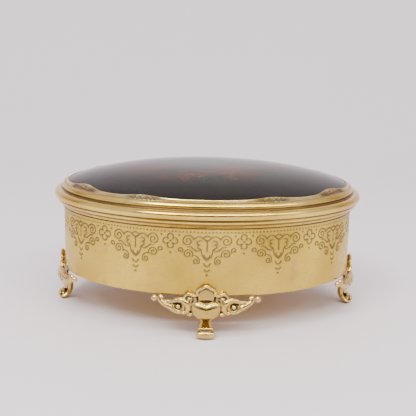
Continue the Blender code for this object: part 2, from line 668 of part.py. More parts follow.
def build_governor_frame(brass):
    """The cheeks, web, shelf and cock that hold the governor's arbor and the worm."""
    web_y = FLY_Y + FLY_R + 0.6
    x0, x1 = LEFT_CHEEK_X, RIGHT_CHEEK_X + BRACKET_T
    low, high = GOV_Z - 2.6, GOV_Z + 2.2
    frame = add("governor_frame", box(x0, x1, web_y, web_y + 1.2, BED_TOP + GAP, high), brass)
    join(frame, box(x0 + 0.1, x1 - 0.1, web_y + 0.1, web_y + 5.0, BED_TOP + GAP, BED_TOP + GAP + 1.4))
    for cheek in (LEFT_CHEEK_X, RIGHT_CHEEK_X):
        join(frame, box(cheek, cheek + BRACKET_T, GOV_Y - 1.6, web_y + 0.6, low, high))
        cut(frame, rod(0.6 + RUNNING, -1, BRACKET_T + 1, 10), place=along_x(cheek, GOV_Y, GOV_Z))
    join(frame, box(FLY_X - 1.8, FLY_X + 1.8, FLY_Y - 1.8, web_y + 0.6, BED_TOP + 1.4, BED_TOP + 2.6))
    cut(frame, rod(0.6 + RUNNING, BED_TOP + 0.6, BED_TOP + 4, 10), place=shift(FLY_X, FLY_Y))
    cock_z = SHOE_Z + 1.6
    join(frame, box(FLY_X - 1.5, FLY_X + 1.5, web_y, web_y + 1.2, high - 0.4, cock_z + 1.1))
    join(frame, box(FLY_X - 1.5, FLY_X + 1.5, FLY_Y - 1.5, web_y + 1.2, cock_z, cock_z + 1.1))
    cut(frame, rod(0.6 + RUNNING, cock_z - 1, cock_z + 2, 10), place=shift(FLY_X, FLY_Y))
    return cock_z


# ---------------------------------------------------------------- the movement's moving pieces
def build_barrel(brass, steel, parent):
    """The drum with crown teeth, its cover and the mainspring."""
    inner = BARREL_R - BARREL_WALL
    hub = 1.7 + RUNNING
    z = BARREL_Z
    wall = [(hub, z), (BARREL_R, z), (BARREL_R, CROWN_Z), (inner, CROWN_Z), (inner, z + 1.0), (hub, z + 1.0)]
    drum = add("spring_barrel", lathe(wall, 36), brass, parent, place=shift(BARREL_X, 0))
    tooth_top = CROWN_PITCH_Z + TOOTH_ADD * CROWN_MODULE
    step = 2 * math.pi / CROWN_TEETH
    top, root = 0.30, 0.50
    teeth = bmesh.new()
    for i in range(CROWN_TEETH):
        middle = step * (i + 0.5)
        corners = []
        for height, share in ((CROWN_Z - 0.3, root), (tooth_top, top)):
            for r in (inner + 0.15, BARREL_R - 0.15):
                for sign in (-1, 1):
                    angle = middle + sign * share * step / 2
                    corners.append(teeth.verts.new((r * math.cos(angle), r * math.sin(angle), height)))
        a, b, c, d, e, f, g, h = corners
        for face in ((a, b, d, c), (e, g, h, f), (a, e, f, b), (c, d, h, g), (a, c, g, e), (b, f, h, d)):
            teeth.faces.new(face)
    join(drum, teeth, place=shift(BARREL_X, 0))

    low, high, edge = CROWN_Z - 1.3, CROWN_Z - 0.3, inner - GAP
    cover = lathe([(hub, low), (edge, low), (edge, high), (hub, high)], 24)
    add("barrel_cover", cover, brass, parent, place=shift(BARREL_X, 0))

    turns, per_turn, thick = 4, 12, 0.35
    first, last = 2.5, inner - 0.8
    outer_edge, inner_edge = [], []
    for i in range(turns * per_turn + 1):
        angle = 2 * math.pi * i / per_turn
        r = first + (last - first) * i / (turns * per_turn)
        for edge, radius in ((outer_edge, r + thick / 2), (inner_edge, r - thick / 2)):
            edge.append(Vector((radius * math.cos(angle), radius * math.sin(angle))))
    spiral = prism(outer_edge + list(reversed(inner_edge)), z + 1.4, CROWN_Z - 1.7)
    add("mainspring", spiral, steel, parent, place=shift(BARREL_X, 0))


def build_key(brass, steel, parent, bridge_top):
    """The winding arbor, its ratchet wheel and the butterfly key below the base."""
    ratchet_z = bridge_top + GAP
    key_top = BASE_Z - 1.4
    arbor_low = key_top - 7.0
    add("winding_arbor", rod(1.7, arbor_low, ratchet_z + 2.2, 14), steel, parent, place=shift(BARREL_X, 0))
    teeth, root_r = 20, RATCHET_R - 0.8
    outline = []
    for i in range(teeth):
        angle = 2 * math.pi * i / teeth
        outline.append(Vector((RATCHET_R * math.cos(angle), RATCHET_R * math.sin(angle))))
        angle += 2 * math.pi / teeth * 0.2
        outline.append(Vector((root_r * math.cos(angle), root_r * math.sin(angle))))
    wheel = prism(outline, ratchet_z, ratchet_z + 1.2)
    ratchet = add("ratchet_wheel", wheel, steel, parent, place=shift(BARREL_X, 0))
    cut(ratchet, rod(1.7 + SHAFT_FIT, ratchet_z - 1, ratchet_z + 3, 14), place=shift(BARREL_X, 0))

    wing_r = (KEY_SPAN - 5.0) / 4 + 0.8
    key = add("winding_key", rod(3.0, key_top - 8.0, key_top, 14), brass, parent, place=shift(BARREL_X, 0))
    for side in (-1, 1):
        middle = shift(BARREL_X + side * (KEY_SPAN / 2 - wing_r), -0.8, key_top - KEY_DROP + wing_r)
        place = middle @ Matrix.Rotation(-math.pi / 2, 4, "X")
        join(key, rod(wing_r, 0, 1.6, 18), place=place)
        cut(key, rod(wing_r * 0.45, -1, 3, 12), place=place)
    cut(key, rod(1.7 + SHAFT_FIT, arbor_low - GAP, key_top + 1, 14), place=shift(BARREL_X, 0))


def build_cylinder(brass, steel, parent):
    """The pinned cylinder, its arbor, the pinion that the barrel drives and the great wheel."""
    arbor_r = 1.0
    start = MESH_X - PINION_W / 2 - 0.6
    end = RIGHT_BRACKET_X + BRACKET_T + 0.4
    add("cylinder_arbor", rod(arbor_r, 0, end - start), steel, parent, place=along_x(start, 0, AXIS_Z))

    bore = arbor_r + SHAFT_FIT
    tube = lathe([(bore, 0), (CYLINDER_R, 0), (CYLINDER_R, CYLINDER_LEN), (bore, CYLINDER_LEN)], 32)
    cylinder = add("cylinder", tube, brass, parent, place=along_x(CYLINDER_X, 0, AXIS_Z))
    pins = bmesh.new()
    pitch = CYLINDER_LEN / TRACKS
    for track in range(TRACKS):
        angle = 2 * math.pi * PIN_STEP * track
        middle = (track + 0.5) * pitch
        out = Vector((math.cos(angle), math.sin(angle), 0))
        across = Vector((-out.y, out.x, 0))
        base = [out * (CYLINDER_R - 0.4) + across * (u * PIN_HALF) + Vector((0, 0, middle + w * PIN_HALF))
                for u, w in ((-1, -1), (1, -1), (1, 1), (-1, 1))]
        made = [pins.verts.new(p) for p in base]
        tips = [pins.verts.new(p + out * (PIN_H + 0.4)) for p in base]
        pins.faces.new(list(reversed(made)))
        pins.faces.new(tips)
        for i in range(4):
            j = (i + 1) % 4
            pins.faces.new((made[i], made[j], tips[j], tips[i]))
    join(cylinder, pins, place=along_x(CYLINDER_X, 0, AXIS_Z))

    pinion = add("cylinder_pinion", prism(gear_outline(PINION_TEETH, CROWN_MODULE, 0.22, 0.50), 0, PINION_W),
                 steel, parent, place=along_x(MESH_X - PINION_W / 2, 0, AXIS_Z))
    cut(pinion, rod(bore, -1, PINION_W + 1), place=along_x(MESH_X - PINION_W / 2, 0, AXIS_Z))
    great = add("great_wheel", prism(gear_outline(GREAT_TEETH, GEAR_MODULE, 0.24, 0.46), 0, WHEEL_W),
                brass, parent, place=along_x(GREAT_X, 0, AXIS_Z))
    cut(great, rod(bore, -1, WHEEL_W + 1), place=along_x(GREAT_X, 0, AXIS_Z))


def build_governor(brass, steel, parent):
    """The governor's arbor with its pinion, and the worm wheel beside it."""
    arbor_r = 0.6
    start, end = LEFT_CHEEK_X - 0.3, RIGHT_CHEEK_X + BRACKET_T + 0.3
    shaft = rod(arbor_r, 0, end - start, 10)
    arbor = add("governor_arbor", shaft, steel, parent, place=along_x(start, GOV_Y, GOV_Z))
    line = math.radians(GOVERNOR_DROP_DEG)
    # The pinion shows a gap to the great wheel's tooth along the line between the two arbors.
    great_phase = ((math.pi / 2 - line) / (2 * math.pi / GREAT_TEETH)) % 1.0
    pinion_step = 2 * math.pi / GOVERNOR_TEETH
    facing = math.pi / 2 - line + math.pi
    turn = facing + pinion_step * (0.5 + great_phase)
    pinion = prism(gear_outline(GOVERNOR_TEETH, GEAR_MODULE, 0.22, 0.46, turn), 0, WHEEL_W + 1.0)
    join(arbor, pinion, place=along_x(GREAT_X - 0.5, GOV_Y, GOV_Z))

    lead_slope = WORM_MODULE / (2 * WORM_R)  # tangent of the worm's lead angle
    slices = 2
    loops = []
    for i in range(slices):
        x = WHEEL_W * i / (slices - 1)
        twist = -(x - WHEEL_W / 2) * lead_slope / WORM_WHEEL_R
        loops.append(at_height(gear_outline(WORM_TEETH, WORM_MODULE, 0.22, 0.42, math.pi / 2 + twist), x))
    wheel = add("worm_wheel", skin(loops), brass, parent, place=along_x(WORM_WHEEL_X, GOV_Y, GOV_Z))
    cut(wheel, rod(arbor_r + SHAFT_FIT, -1, WHEEL_W + 1, 10), place=along_x(WORM_WHEEL_X, GOV_Y, GOV_Z))


def build_fly(brass, steel, parent, cock_z):
    """The endless screw on its upright arbor, with the brake disc and the two-vaned fly."""
    lead = math.pi * WORM_MODULE
    half = 2.4
    per_turn = 8
    slices = int(2 * half / lead * per_turn)
    tip, root = WORM_R + 0.40, WORM_R - 0.55
    loops = []
    for i in range(slices + 1):
        z = GOV_Z - half + lead * i / per_turn
        phase = 2 * math.pi * (z - GOV_Z) / lead
        loop = []
        for k in range(8):
            angle = 2 * math.pi * k / 8
            # Distance from the thread's crest, in turns: the crest stands away from the wheel's tooth.
            away = abs(((angle - phase - math.pi / 2) / (2 * math.pi)) % 1.0 - 0.5) * 2
            crest = max(0.0, min(1.0, (away - 0.62) / 0.2))
            r = root + (tip - root) * crest
            loop.append(Vector((r * math.cos(angle), r * math.sin(angle), z)))
        loops.append(loop)
    arbor = add("worm_arbor", skin(loops), steel, parent, place=shift(FLY_X, FLY_Y))
    join(arbor, rod(0.6, BED_TOP + 1.7, cock_z + 0.7, 10), place=shift(FLY_X, FLY_Y))
    join(arbor, rod(3.2, DISC_Z, DISC_Z + 0.6, 20), place=shift(FLY_X, FLY_Y))

    z0 = DISC_Z - 0.5 - FLY_H
    fly = add("fly", rod(1.3, z0, z0 + FLY_H, 12), brass, parent, place=shift(FLY_X, FLY_Y))
    for side in (-1, 1):
        low, high = sorted((side * 1.0, side * FLY_R))
        join(fly, box(low, high, -0.2, 0.2, z0 + 0.1, z0 + FLY_H - 0.1), place=shift(FLY_X, FLY_Y))
    cut(fly, rod(0.6 + SHAFT_FIT, z0 - 1, z0 + FLY_H + 1, 10), place=shift(FLY_X, FLY_Y))


def build_click(steel, parent, bridge_top):
    """The click stands just clear of the ratchet's teeth, on its own screw."""
    y, z, pin_r = CLICK_Y, bridge_top + GAP, 0.8
    arm = y - CLICK_TIP_Y
    hub = [(-1.7, 1.2), (-2.2, -1.0)]
    finger = [(-3.3, -0.62 * arm), (-3.9, -arm), (-2.7, -0.85 * arm), (-1.1, -0.32 * arm), (1.4, -0.27 * arm)]
    back = [(1.9, 0.4), (0.6, 1.9)]
    outline = [Vector((BARREL_X + x, y + v)) for x, v in hub + finger + back]
    click = add("click", prism(outline, z, z + 1.2), steel, parent)
    cut(click, rod(pin_r + RUNNING, z - 1, z + 3, 12), place=shift(BARREL_X, y))
    profile = [(0, 0), (pin_r, 0), (pin_r, 1.5), (pin_r + 0.7, 1.5), (pin_r + 0.7, 2.3), (0, 2.3)]
    add("click_screw", lathe(profile, 12), steel, place=shift(BARREL_X, y, z))


def build_stop(brass, steel, parent):
    """The start pin that the lid presses down, with the arm that brakes the worm's disc."""
    x, y = STOP_X, STOP_Y
    pin_top = BOARD_Z - GAP
    collar_z = SHOE_Z - 1.6
    bracket_low = collar_z - (STOP_SPRING_FREE - STOP_TRAVEL)
    pin = lathe([(0, bracket_low - 0.8), (1.0, bracket_low - 0.8), (1.0, collar_z), (2.0, collar_z),
                 (2.0, collar_z + 1.0), (1.0, collar_z + 1.0), (1.0, pin_top), (0, pin_top)], 12)
    add("start_pin", pin, steel, parent, place=shift(x, y))
    arm_top = SHOE_Z + 1.0
    arm = add("brake_arm", box(x - 0.7, x + 0.7, FLY_Y - 1.4, y + 1.9, SHOE_Z, arm_top), brass, parent)
    join(arm, box(FLY_X + 1.9, x + 0.2, FLY_Y - 1.3, FLY_Y + 0.9, SHOE_Z + 0.05, arm_top - 0.05))
    join(arm, rod(2.1, SHOE_Z + 0.02, arm_top - 0.02, 12), place=shift(x, y))
    cut(arm, rod(1.0 + SHAFT_FIT, SHOE_Z - 1, arm_top + 1), place=shift(x, y))

    top = DECK_Z - GAP
    bracket = add("stop_bracket", box(x - 3.2, x + 3.2, y + 2.6, y + 3.6, bracket_low, top), brass)
    join(bracket, box(x - 3.2, x + 3.2, y - 2.0, y + 3.3, bracket_low, bracket_low + 1.0))
    join(bracket, box(x - 3.2, x + 3.2, y - 4.4, y + 3.3, top - 0.6, top))
    cut(bracket, rod(1.0 + RUNNING, bracket_low - 1, top + 1), place=shift(x, y))

    turns, per_turn, wire = 3, 8, 0.22
    z0, z1 = bracket_low + 1.0 + GAP + wire, collar_z - GAP - wire
    loops = []
    for i in range(turns * per_turn + 1):
        angle = 2 * math.pi * i / per_turn
        out = Vector((math.cos(angle), math.sin(angle), 0))
        centre = out * 1.6 + Vector((0, 0, z0 + (z1 - z0) * i / (turns * per_turn)))
        up = Vector((0, 0, 1))
        sides = [math.tau * k / 4 for k in range(4)]
        loops.append([centre + (out * math.cos(a) + up * math.sin(a)) * wire for a in sides])
    add("start_spring", skin(loops), steel, parent, place=shift(x, y))


# ---------------------------------------------------------------- the whole box
def main():
    for obj in list(bpy.data.objects):
        bpy.data.objects.remove(obj)
    gilt = material("gilt", (0.83, 0.62, 0.27), 1.0, 0.28)
    gilt_feet = material("gilt_cast", (0.80, 0.58, 0.24), 1.0, 0.22)
    brass = material("brass", (0.78, 0.60, 0.30), 1.0, 0.32)
    steel = material("steel", (0.62, 0.62, 0.64), 1.0, 0.25)
    enamel = material("enamel", (0.035, 0.032, 0.032), 0.0, 0.08)
    glass = material("glass", (0.92, 0.95, 0.95), 0.0, 0.02)
    velvet = material("velvet", (0.16, 0.02, 0.04), 0.0, 0.9)
    padding = material("velvet_pad", (0.18, 0.025, 0.05), 0.0, 0.9)

    lid = pivot("lid_axis", 0, WALL_B + HINGE_BACK, WALL_TOP + GAP / 2)
    key = pivot("key_axis", BARREL_X, 0, BARREL_Z)
    barrel = pivot("barrel_axis", BARREL_X, 0, BARREL_Z)
    cylinder = pivot("cylinder_axis", CYLINDER_X, 0, AXIS_Z)
    governor = pivot("governor_axis", WORM_WHEEL_X, GOV_Y, GOV_Z)
    fly = pivot("fly_axis", FLY_X, FLY_Y, GOV_Z)
    click = pivot("click_axis", BARREL_X, CLICK_Y, CROWN_Z)
    stop = pivot("stop_axis", STOP_X, STOP_Y, DECK_Z)

    build_shell(gilt)
    build_base(gilt, steel)
    for name, start in (("foot_right", 0), ("foot_back", 90), ("foot_left", 180), ("foot_front", 270)):
        build_foot(name, start, gilt_feet)
    build_deck(gilt, glass, velvet, padding)
    build_lid(gilt, enamel, velvet, padding, lid)
    build_hinge(gilt, steel, lid)
    build_bedplate(brass)
    build_bracket("bracket_left", LEFT_BRACKET_X, brass, True)
    build_bracket("bracket_right", RIGHT_BRACKET_X, brass, False)
    bridge_top = build_bridge(brass, steel)
    build_comb(steel, brass)
    cock_z = build_governor_frame(brass)
    build_barrel(brass, steel, barrel)
    build_key(brass, steel, key, bridge_top)
    build_cylinder(brass, steel, cylinder)
    build_governor(brass, steel, governor)
    build_fly(brass, steel, fly, cock_z)
    build_click(steel, click, bridge_top)
    build_stop(brass, steel, stop)


main()
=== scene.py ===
"""Looks of the oval gilt music box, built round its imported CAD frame. Lengths are in millimetres."""

import json
import math

import bmesh
import bpy
import numpy as np
from mathutils import Matrix, Vector


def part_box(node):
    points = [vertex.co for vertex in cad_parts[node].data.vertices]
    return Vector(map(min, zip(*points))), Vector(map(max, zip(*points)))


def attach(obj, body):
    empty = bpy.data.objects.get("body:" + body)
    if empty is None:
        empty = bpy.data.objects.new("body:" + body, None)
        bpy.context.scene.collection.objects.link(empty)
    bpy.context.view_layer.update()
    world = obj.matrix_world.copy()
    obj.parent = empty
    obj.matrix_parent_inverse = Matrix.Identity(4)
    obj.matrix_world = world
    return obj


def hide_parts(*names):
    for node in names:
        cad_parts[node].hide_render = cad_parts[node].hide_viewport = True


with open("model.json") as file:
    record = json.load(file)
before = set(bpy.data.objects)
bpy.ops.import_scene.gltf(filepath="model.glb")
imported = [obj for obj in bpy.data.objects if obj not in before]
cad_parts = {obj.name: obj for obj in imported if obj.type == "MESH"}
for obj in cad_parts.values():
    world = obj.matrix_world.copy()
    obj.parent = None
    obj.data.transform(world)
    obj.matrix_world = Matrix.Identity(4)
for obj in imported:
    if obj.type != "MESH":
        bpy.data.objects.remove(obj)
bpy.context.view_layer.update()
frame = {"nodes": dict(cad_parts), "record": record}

MM = 0.001
TAU = 2 * math.pi


def corners(node):
    """Lowest and highest corner of a CAD node, in millimetres."""
    low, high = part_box(node)
    return Vector(low) / MM, Vector(high) / MM


# ---- sizes taken from the frame
SHELL_LOW, SHELL_HIGH = corners("body_shell")
LID_LOW, LID_HIGH = corners("lid_frame")
COLLAR_OUT = 3.1  # how far the collar stands out of the wall
LIP_H = 2.2  # the lip inside the lid, over the wall's top
WALL_A = SHELL_HIGH.x - COLLAR_OUT
WALL_B = -SHELL_LOW.y - COLLAR_OUT
FLOOR_Z = SHELL_LOW.z
WALL_TOP = SHELL_HIGH.z - LIP_H
LID_Z = LID_LOW.z
SEAT_Z = LID_Z + 5.0
RIM_Z = LID_HIGH.z
GAP = 0.3  # clearance between neighbours
HINGE_HALF = 15.3  # half the notch for the hinge, and how far out of the wall it starts
NOTCH_D = 1.0
PLAQUE_EDGE_IN = 1.2  # the enamel's edge lies this far inside the wall's oval
DOME_EDGE_Z = RIM_Z - 0.1
PLAQUE_RISE = 9.1
PLAQUE_ROLL = 0.6  # the last of the dome's height, which it loses close to its edge
BASE_TOP = corners("base_plate")[1].z
DECK_Z = corners("deck_plate")[0].z
RING_COLUMNS = 360
PAD_VOXEL, FOOT_VOXEL, HINGE_VOXEL, KEY_VOXEL = 0.9, 0.25, 0.16, 0.2
RNG = np.random.default_rng(18)


# ---- the oval and its arc length
def arc_table():
    """Angle round the oval against the length along its wall, from the front's middle towards +X."""
    t = np.linspace(-0.5 * math.pi, 1.5 * math.pi, 7201)
    speed = np.hypot(WALL_A * np.sin(t), WALL_B * np.cos(t))
    length = np.concatenate([[0.0], np.cumsum((speed[1:] + speed[:-1]) / 2 * np.diff(t))])
    return t, length


TABLE_T, TABLE_S = arc_table()
PERIMETER = TABLE_S[-1]
REPEATS = 12
TILE = PERIMETER / REPEATS
FOOT_STARTS = {"foot_front": 0.0, "foot_right": 0.25, "foot_back": 0.5, "foot_left": 0.75}


def oval_at(t):
    """Points of the wall's face at angles t, and its normals there."""
    normal = np.stack([WALL_B * np.cos(t), WALL_A * np.sin(t)], -1)
    normal /= np.linalg.norm(normal, axis=-1, keepdims=True)
    return np.stack([WALL_A * np.cos(t), WALL_B * np.sin(t)], -1), normal


def on_wall(s, d):
    """Points d out from the wall's face at length s along it; s and d broadcast."""
    base, normal = oval_at(np.interp(np.mod(s, PERIMETER), TABLE_S, TABLE_T))
    return base + normal * np.asarray(d)[..., None]


def chaikin(points, rounds=2):
    """Rounds the inner corners of an open line of points."""
    for _ in range(rounds):
        cut = [points[0]]
        for p, q in zip(points, points[1:]):
            for share in (0.25, 0.75):
                cut.append(tuple((1 - share) * a + share * b for a, b in zip(p, q)))
        points = cut + [points[-1]]
    return points


def through(points, per_span=8):
    """A smooth line through chosen points."""
    p = np.array(points, float)
    p = np.vstack([2 * p[0] - p[1], p, 2 * p[-1] - p[-2]])
    made = []
    for i in range(1, len(p) - 2):
        for k in range(per_span):
            u = k / per_span
            made.append(0.5 * ((2 * p[i]) + (p[i + 1] - p[i - 1]) * u
                               + (2 * p[i - 1] - 5 * p[i] + 4 * p[i + 1] - p[i + 2]) * u * u
                               + (3 * p[i] - p[i - 1] - 3 * p[i + 1] + p[i + 2]) * u ** 3))
    made.append(p[-2])
    return np.array(made)


def spiral(cx, cz, r_out, r_in, start_deg, turns):
    """A volute that winds in from r_out; turns is negative for clockwise."""
    u = np.linspace(0, 1, int(28 * abs(turns)) + 2)
    angle = math.radians(start_deg) + TAU * turns * u
    r = r_out + (r_in - r_out) * u
    return np.stack([cx + r * np.cos(angle), cz + r * np.sin(angle)], -1)


# ---- mesh tools
def make(name, points, faces, smooth=True, sharp=None):
    """An object of points in millimetres."""
    mesh = bpy.data.meshes.new(name)
    mesh.from_pydata([tuple(p) for p in np.asarray(points, float) * MM], [], faces)
    mesh.validate()
    bm = bmesh.new()
    bm.from_mesh(mesh)
    bmesh.ops.remove_doubles(bm, verts=bm.verts, dist=1e-7)
    bmesh.ops.recalc_face_normals(bm, faces=bm.faces)
    bm.to_mesh(mesh)
    bm.free()
    if smooth:
        mesh.shade_smooth()
    if sharp:
        mesh.set_sharp_from_angle(angle=math.radians(sharp))
    obj = bpy.data.objects.new(name, mesh)
    bpy.context.scene.collection.objects.link(obj)
    return obj


def grid_faces(rows, columns, wrap_rows=False, wrap_columns=False):
    """Quads of a grid of points stored row by row."""
    faces = []
    for i in range(rows if wrap_rows else rows - 1):
        for j in range(columns if wrap_columns else columns - 1):
            a, b = i, (i + 1) % rows
            c, d = j, (j + 1) % columns
            faces.append((a * columns + c, a * columns + d, b * columns + d, b * columns + c))
    return faces


def level(outline, z):
    """An outline at one height, or at a height for each point."""
    return np.column_stack([outline, np.full(len(outline), z)])


def capped_faces(rows, columns):
    """Quads round a stack of loops, and a face over its first and over its last loop."""
    last = (rows - 1) * columns
    ends = [tuple(reversed(range(columns))), tuple(range(last, last + columns))]
    return grid_faces(rows, columns, wrap_columns=True) + ends


def ring(name, profile, notch):
    """A closed ring round the oval from a closed profile of (offset, height). Between the two heights of
    its notch it is cut back behind the box, where the hinge lies."""
    s = np.arange(RING_COLUMNS) * PERIMETER / RING_COLUMNS
    points = np.vstack([level(on_wall(s, np.full(RING_COLUMNS, d)), z) for d, z in profile])
    inside = (abs(points[:, 0]) < HINGE_HALF) & (points[:, 2] > notch[0]) & (points[:, 2] < notch[1])
    back = inside & (points[:, 1] > WALL_B + NOTCH_D)
    points[back, 1] = WALL_B + NOTCH_D
    return make(name, points, grid_faces(len(profile), RING_COLUMNS, True, True), sharp=50)


def tube(line, radii, sides=10, wide=1.0):
    """Points and faces of a closed tube along a 3D line; wide stretches it along X or across."""
    line = np.asarray(line, float)
    radii = np.broadcast_to(np.asarray(radii, float), (len(line),))
    wide = np.broadcast_to(np.asarray(wide, float), (len(line),))
    ahead = np.gradient(line, axis=0)
    points = []
    flat_in_yz = np.ptp(line[:, 0]) < 1e-6
    side = np.array([1.0, 0.0, 0.0]) if flat_in_yz else np.array([0.0, 1.0, 0.0])
    for p, a, r, w in zip(line, ahead, radii, wide):
        a = a / (np.linalg.norm(a) + 1e-9)
        u = side - a * side.dot(a)
        u /= np.linalg.norm(u) + 1e-9
        v = np.cross(a, u)
        for k in range(sides):
            angle = TAU * k / sides
            points.append(p + r * (u * math.cos(angle) * w + v * math.sin(angle)))
    return points, capped_faces(len(line), sides)


def tapered(line, shares, values):
    """Values for each point of a line, from values at some shares of its run."""
    return np.interp(np.linspace(0, 1, len(line)), shares, values)


def blob(centre, radii, rings=12, sides=18):
    """Points and faces of an ellipsoid."""
    unit = [(0, 0, -1)]
    for tilt in [math.pi * i / rings for i in range(1, rings)]:
        for turn in [TAU * k / sides for k in range(sides)]:
            unit.append((math.sin(tilt) * math.cos(turn), math.sin(tilt) * math.sin(turn), -math.cos(tilt)))
    unit.append((0, 0, 1))
    top = len(unit) - 1
    faces = [(0, 1 + (k + 1) % sides, 1 + k) for k in range(sides)]
    faces += [tuple(1 + i for i in face) for face in grid_faces(rings - 1, sides, wrap_columns=True)]
    faces += [(top, top - sides + k, top - sides + (k + 1) % sides) for k in range(sides)]
    return np.array(centre) + np.array(radii) * unit, faces


def box_outline(x0, x1, z0, z1):
    return [(x0, z0), (x1, z0), (x1, z1), (x0, z1)]


def plate(outline, y0, y1):
    """Points and faces of a flat plate with an outline in X and Z."""
    n = len(outline)
    points = [(x, y0, z) for x, z in outline] + [(x, y1, z) for x, z in outline]
    faces = [tuple(range(n)), tuple(reversed(range(n, 2 * n)))]
    faces += [(i, (i + 1) % n, n + (i + 1) % n, n + i) for i in range(n)]
    return points, faces


def gather(shapes):
    """Joins several (points, faces) into one."""
    points, faces = [], []
    for more_points, more_faces in shapes:
        faces += [tuple(i + len(points) for i in face) for face in more_faces]
        points += [tuple(p) for p in more_points]
    return points, faces


def evaluated(obj):
    """Applies an object's modifiers."""
    depsgraph = bpy.context.evaluated_depsgraph_get()
    mesh = bpy.data.meshes.new_from_object(obj.evaluated_get(depsgraph))
    obj.modifiers.clear()
    old, obj.data = obj.data, mesh
    bpy.data.meshes.remove(old)


def remeshed(obj, voxel_mm):
    modifier = obj.modifiers.new("remesh", "REMESH")
    modifier.mode = "VOXEL"
    modifier.voxel_size = voxel_mm * MM
    modifier.use_smooth_shade = True
    evaluated(obj)


def mesh_points(obj):
    points = np.zeros(len(obj.data.vertices) * 3)
    obj.data.vertices.foreach_get("co", points)
    return points.reshape(-1, 3) / MM


def set_points(obj, points):
    obj.data.vertices.foreach_set("co", (np.asarray(points) * MM).ravel())
    obj.data.update()


def averaged(points, edges, rounds):
    """Moves every point to the middle of its neighbours, several times."""
    count = np.zeros(len(points))
    np.add.at(count, edges[:, 0], 1)
    np.add.at(count, edges[:, 1], 1)
    for _ in range(rounds):
        total = np.zeros_like(points)
        np.add.at(total, edges[:, 0], points[edges[:, 1]])
        np.add.at(total, edges[:, 1], points[edges[:, 0]])
        points = 0.5 * points + 0.5 * total / count[:, None]
    return points


def edge_array(obj):
    edges = np.zeros(len(obj.data.edges) * 2, int)
    obj.data.edges.foreach_get("vertices", edges)
    return edges.reshape(-1, 2)


def store(obj, name, values):
    """Keeps one number per point, which the material reads."""
    attribute = obj.data.attributes.new(name, "FLOAT", "POINT")
    attribute.data.foreach_set("value", np.asarray(values, np.float32))


def store_hollows(obj):
    """Marks how deep each point lies in a hollow, from 0 on a crest to 1 in a recess."""
    points, edges = mesh_points(obj), edge_array(obj)
    normals = np.zeros(len(points) * 3)
    obj.data.vertices.foreach_get("normal", normals)
    normals = normals.reshape(-1, 3)
    found = np.full(len(points), -1.0)
    for rounds, reach in ((14, 0.16), (90, 0.6)):
        away = averaged(points, edges, rounds) - points
        found = np.maximum(found, (away * normals).sum(1) / reach)
    store(obj, "hollow", np.clip(0.5 + 0.5 * found, 0, 1))


# ---- materials
class Nodes:
    """Short calls for building the node tree of a material or of the world."""

    def __init__(self, owner, shader):
        owner.use_nodes = True
        self.owner = owner
        self.tree = owner.node_tree
        self.shader = self.tree.nodes[shader]

    def put(self, node, key, value):
        """Links a socket, or writes a value, into an input given by its name or number."""
        if isinstance(value, bpy.types.NodeSocket):
            self.tree.links.new(value, node.inputs[key])
        else:
            node.inputs[key].default_value = value

    def node(self, kind, **inputs):
        made = self.tree.nodes.new("ShaderNode" + kind)
        for key, value in inputs.items():
            self.put(made, key, value)
        return made

    def where(self, scale=(1, 1, 1)):
        made = self.node("Mapping", Scale=scale)
        self.put(made, "Vector", self.node("TexCoord").outputs["Object"])
        return made.outputs[0]

    def noise(self, scale, detail=3.0, stretch=(1, 1, 1), distortion=0.0):
        return self.node("TexNoise", Scale=scale, Detail=detail, Distortion=distortion,
                         Vector=self.where(stretch)).outputs["Fac"]

    def math(self, operation, a, b=0.0):
        made = self.node("Math")
        made.operation = operation
        self.put(made, 0, a)
        self.put(made, 1, b)
        return made.outputs[0]

    def times(self, a, b):
        return self.math("MULTIPLY", a, b)

    def plus(self, a, b):
        return self.math("ADD", a, b)

    def span(self, value, low, high, to_low=0.0, to_high=1.0, smooth=False):
        """Maps low..high onto to_low..to_high, and stops at both ends."""
        made = self.node("MapRange", Value=value)
        made.interpolation_type = "SMOOTHSTEP" if smooth else "LINEAR"
        limits = {"From Min": low, "From Max": high, "To Min": to_low, "To Max": to_high}
        for key, limit in limits.items():
            self.put(made, key, limit)
        return made.outputs[0]

    def mix(self, share, a, b):
        made = self.node("Mix")
        made.data_type = "RGBA"
        for key, value in ((0, share), (6, a), (7, b)):
            self.put(made, key, (*value, 1.0) if isinstance(value, tuple) else value)
        return made.outputs[2]

    def attribute(self, name):
        made = self.node("Attribute")
        made.attribute_name = name
        return made.outputs["Fac"]

    def bump(self, height, strength, distance_mm):
        made = self.node("Bump", Height=height, Strength=strength, Distance=distance_mm * MM)
        self.put(self.shader, "Normal", made.outputs[0])

    def set(self, **values):
        for key, value in values.items():
            self.put(self.shader, key.replace("_", " "), value)


def surface(name):
    return Nodes(bpy.data.materials.new(name), "Principled BSDF")


PER_MM = 1 / MM  # a texture scale of PER_MM has features of about one millimetre
# the last colour is painted shade and dirt, for crevices, engraved lines and hollows of the relief
SPECK, STAIN, SHADE_DIRT_COLOUR = (0.40, 0.29, 0.10), (0.36, 0.24, 0.12), (0.10, 0.063, 0.04)
CAST_BRIGHT, CAST_DEEP = (0.80, 0.58, 0.20), (0.52, 0.345, 0.06)
CAST_TARNISH, CAST_BLACK = (0.33, 0.25, 0.13), (0.045, 0.04, 0.04)
ENAMEL_BLACK, ENAMEL_GREEN, ENAMEL_RUST = (0.016, 0.014, 0.012), (0.033, 0.098, 0.054), (0.165, 0.065, 0.027)


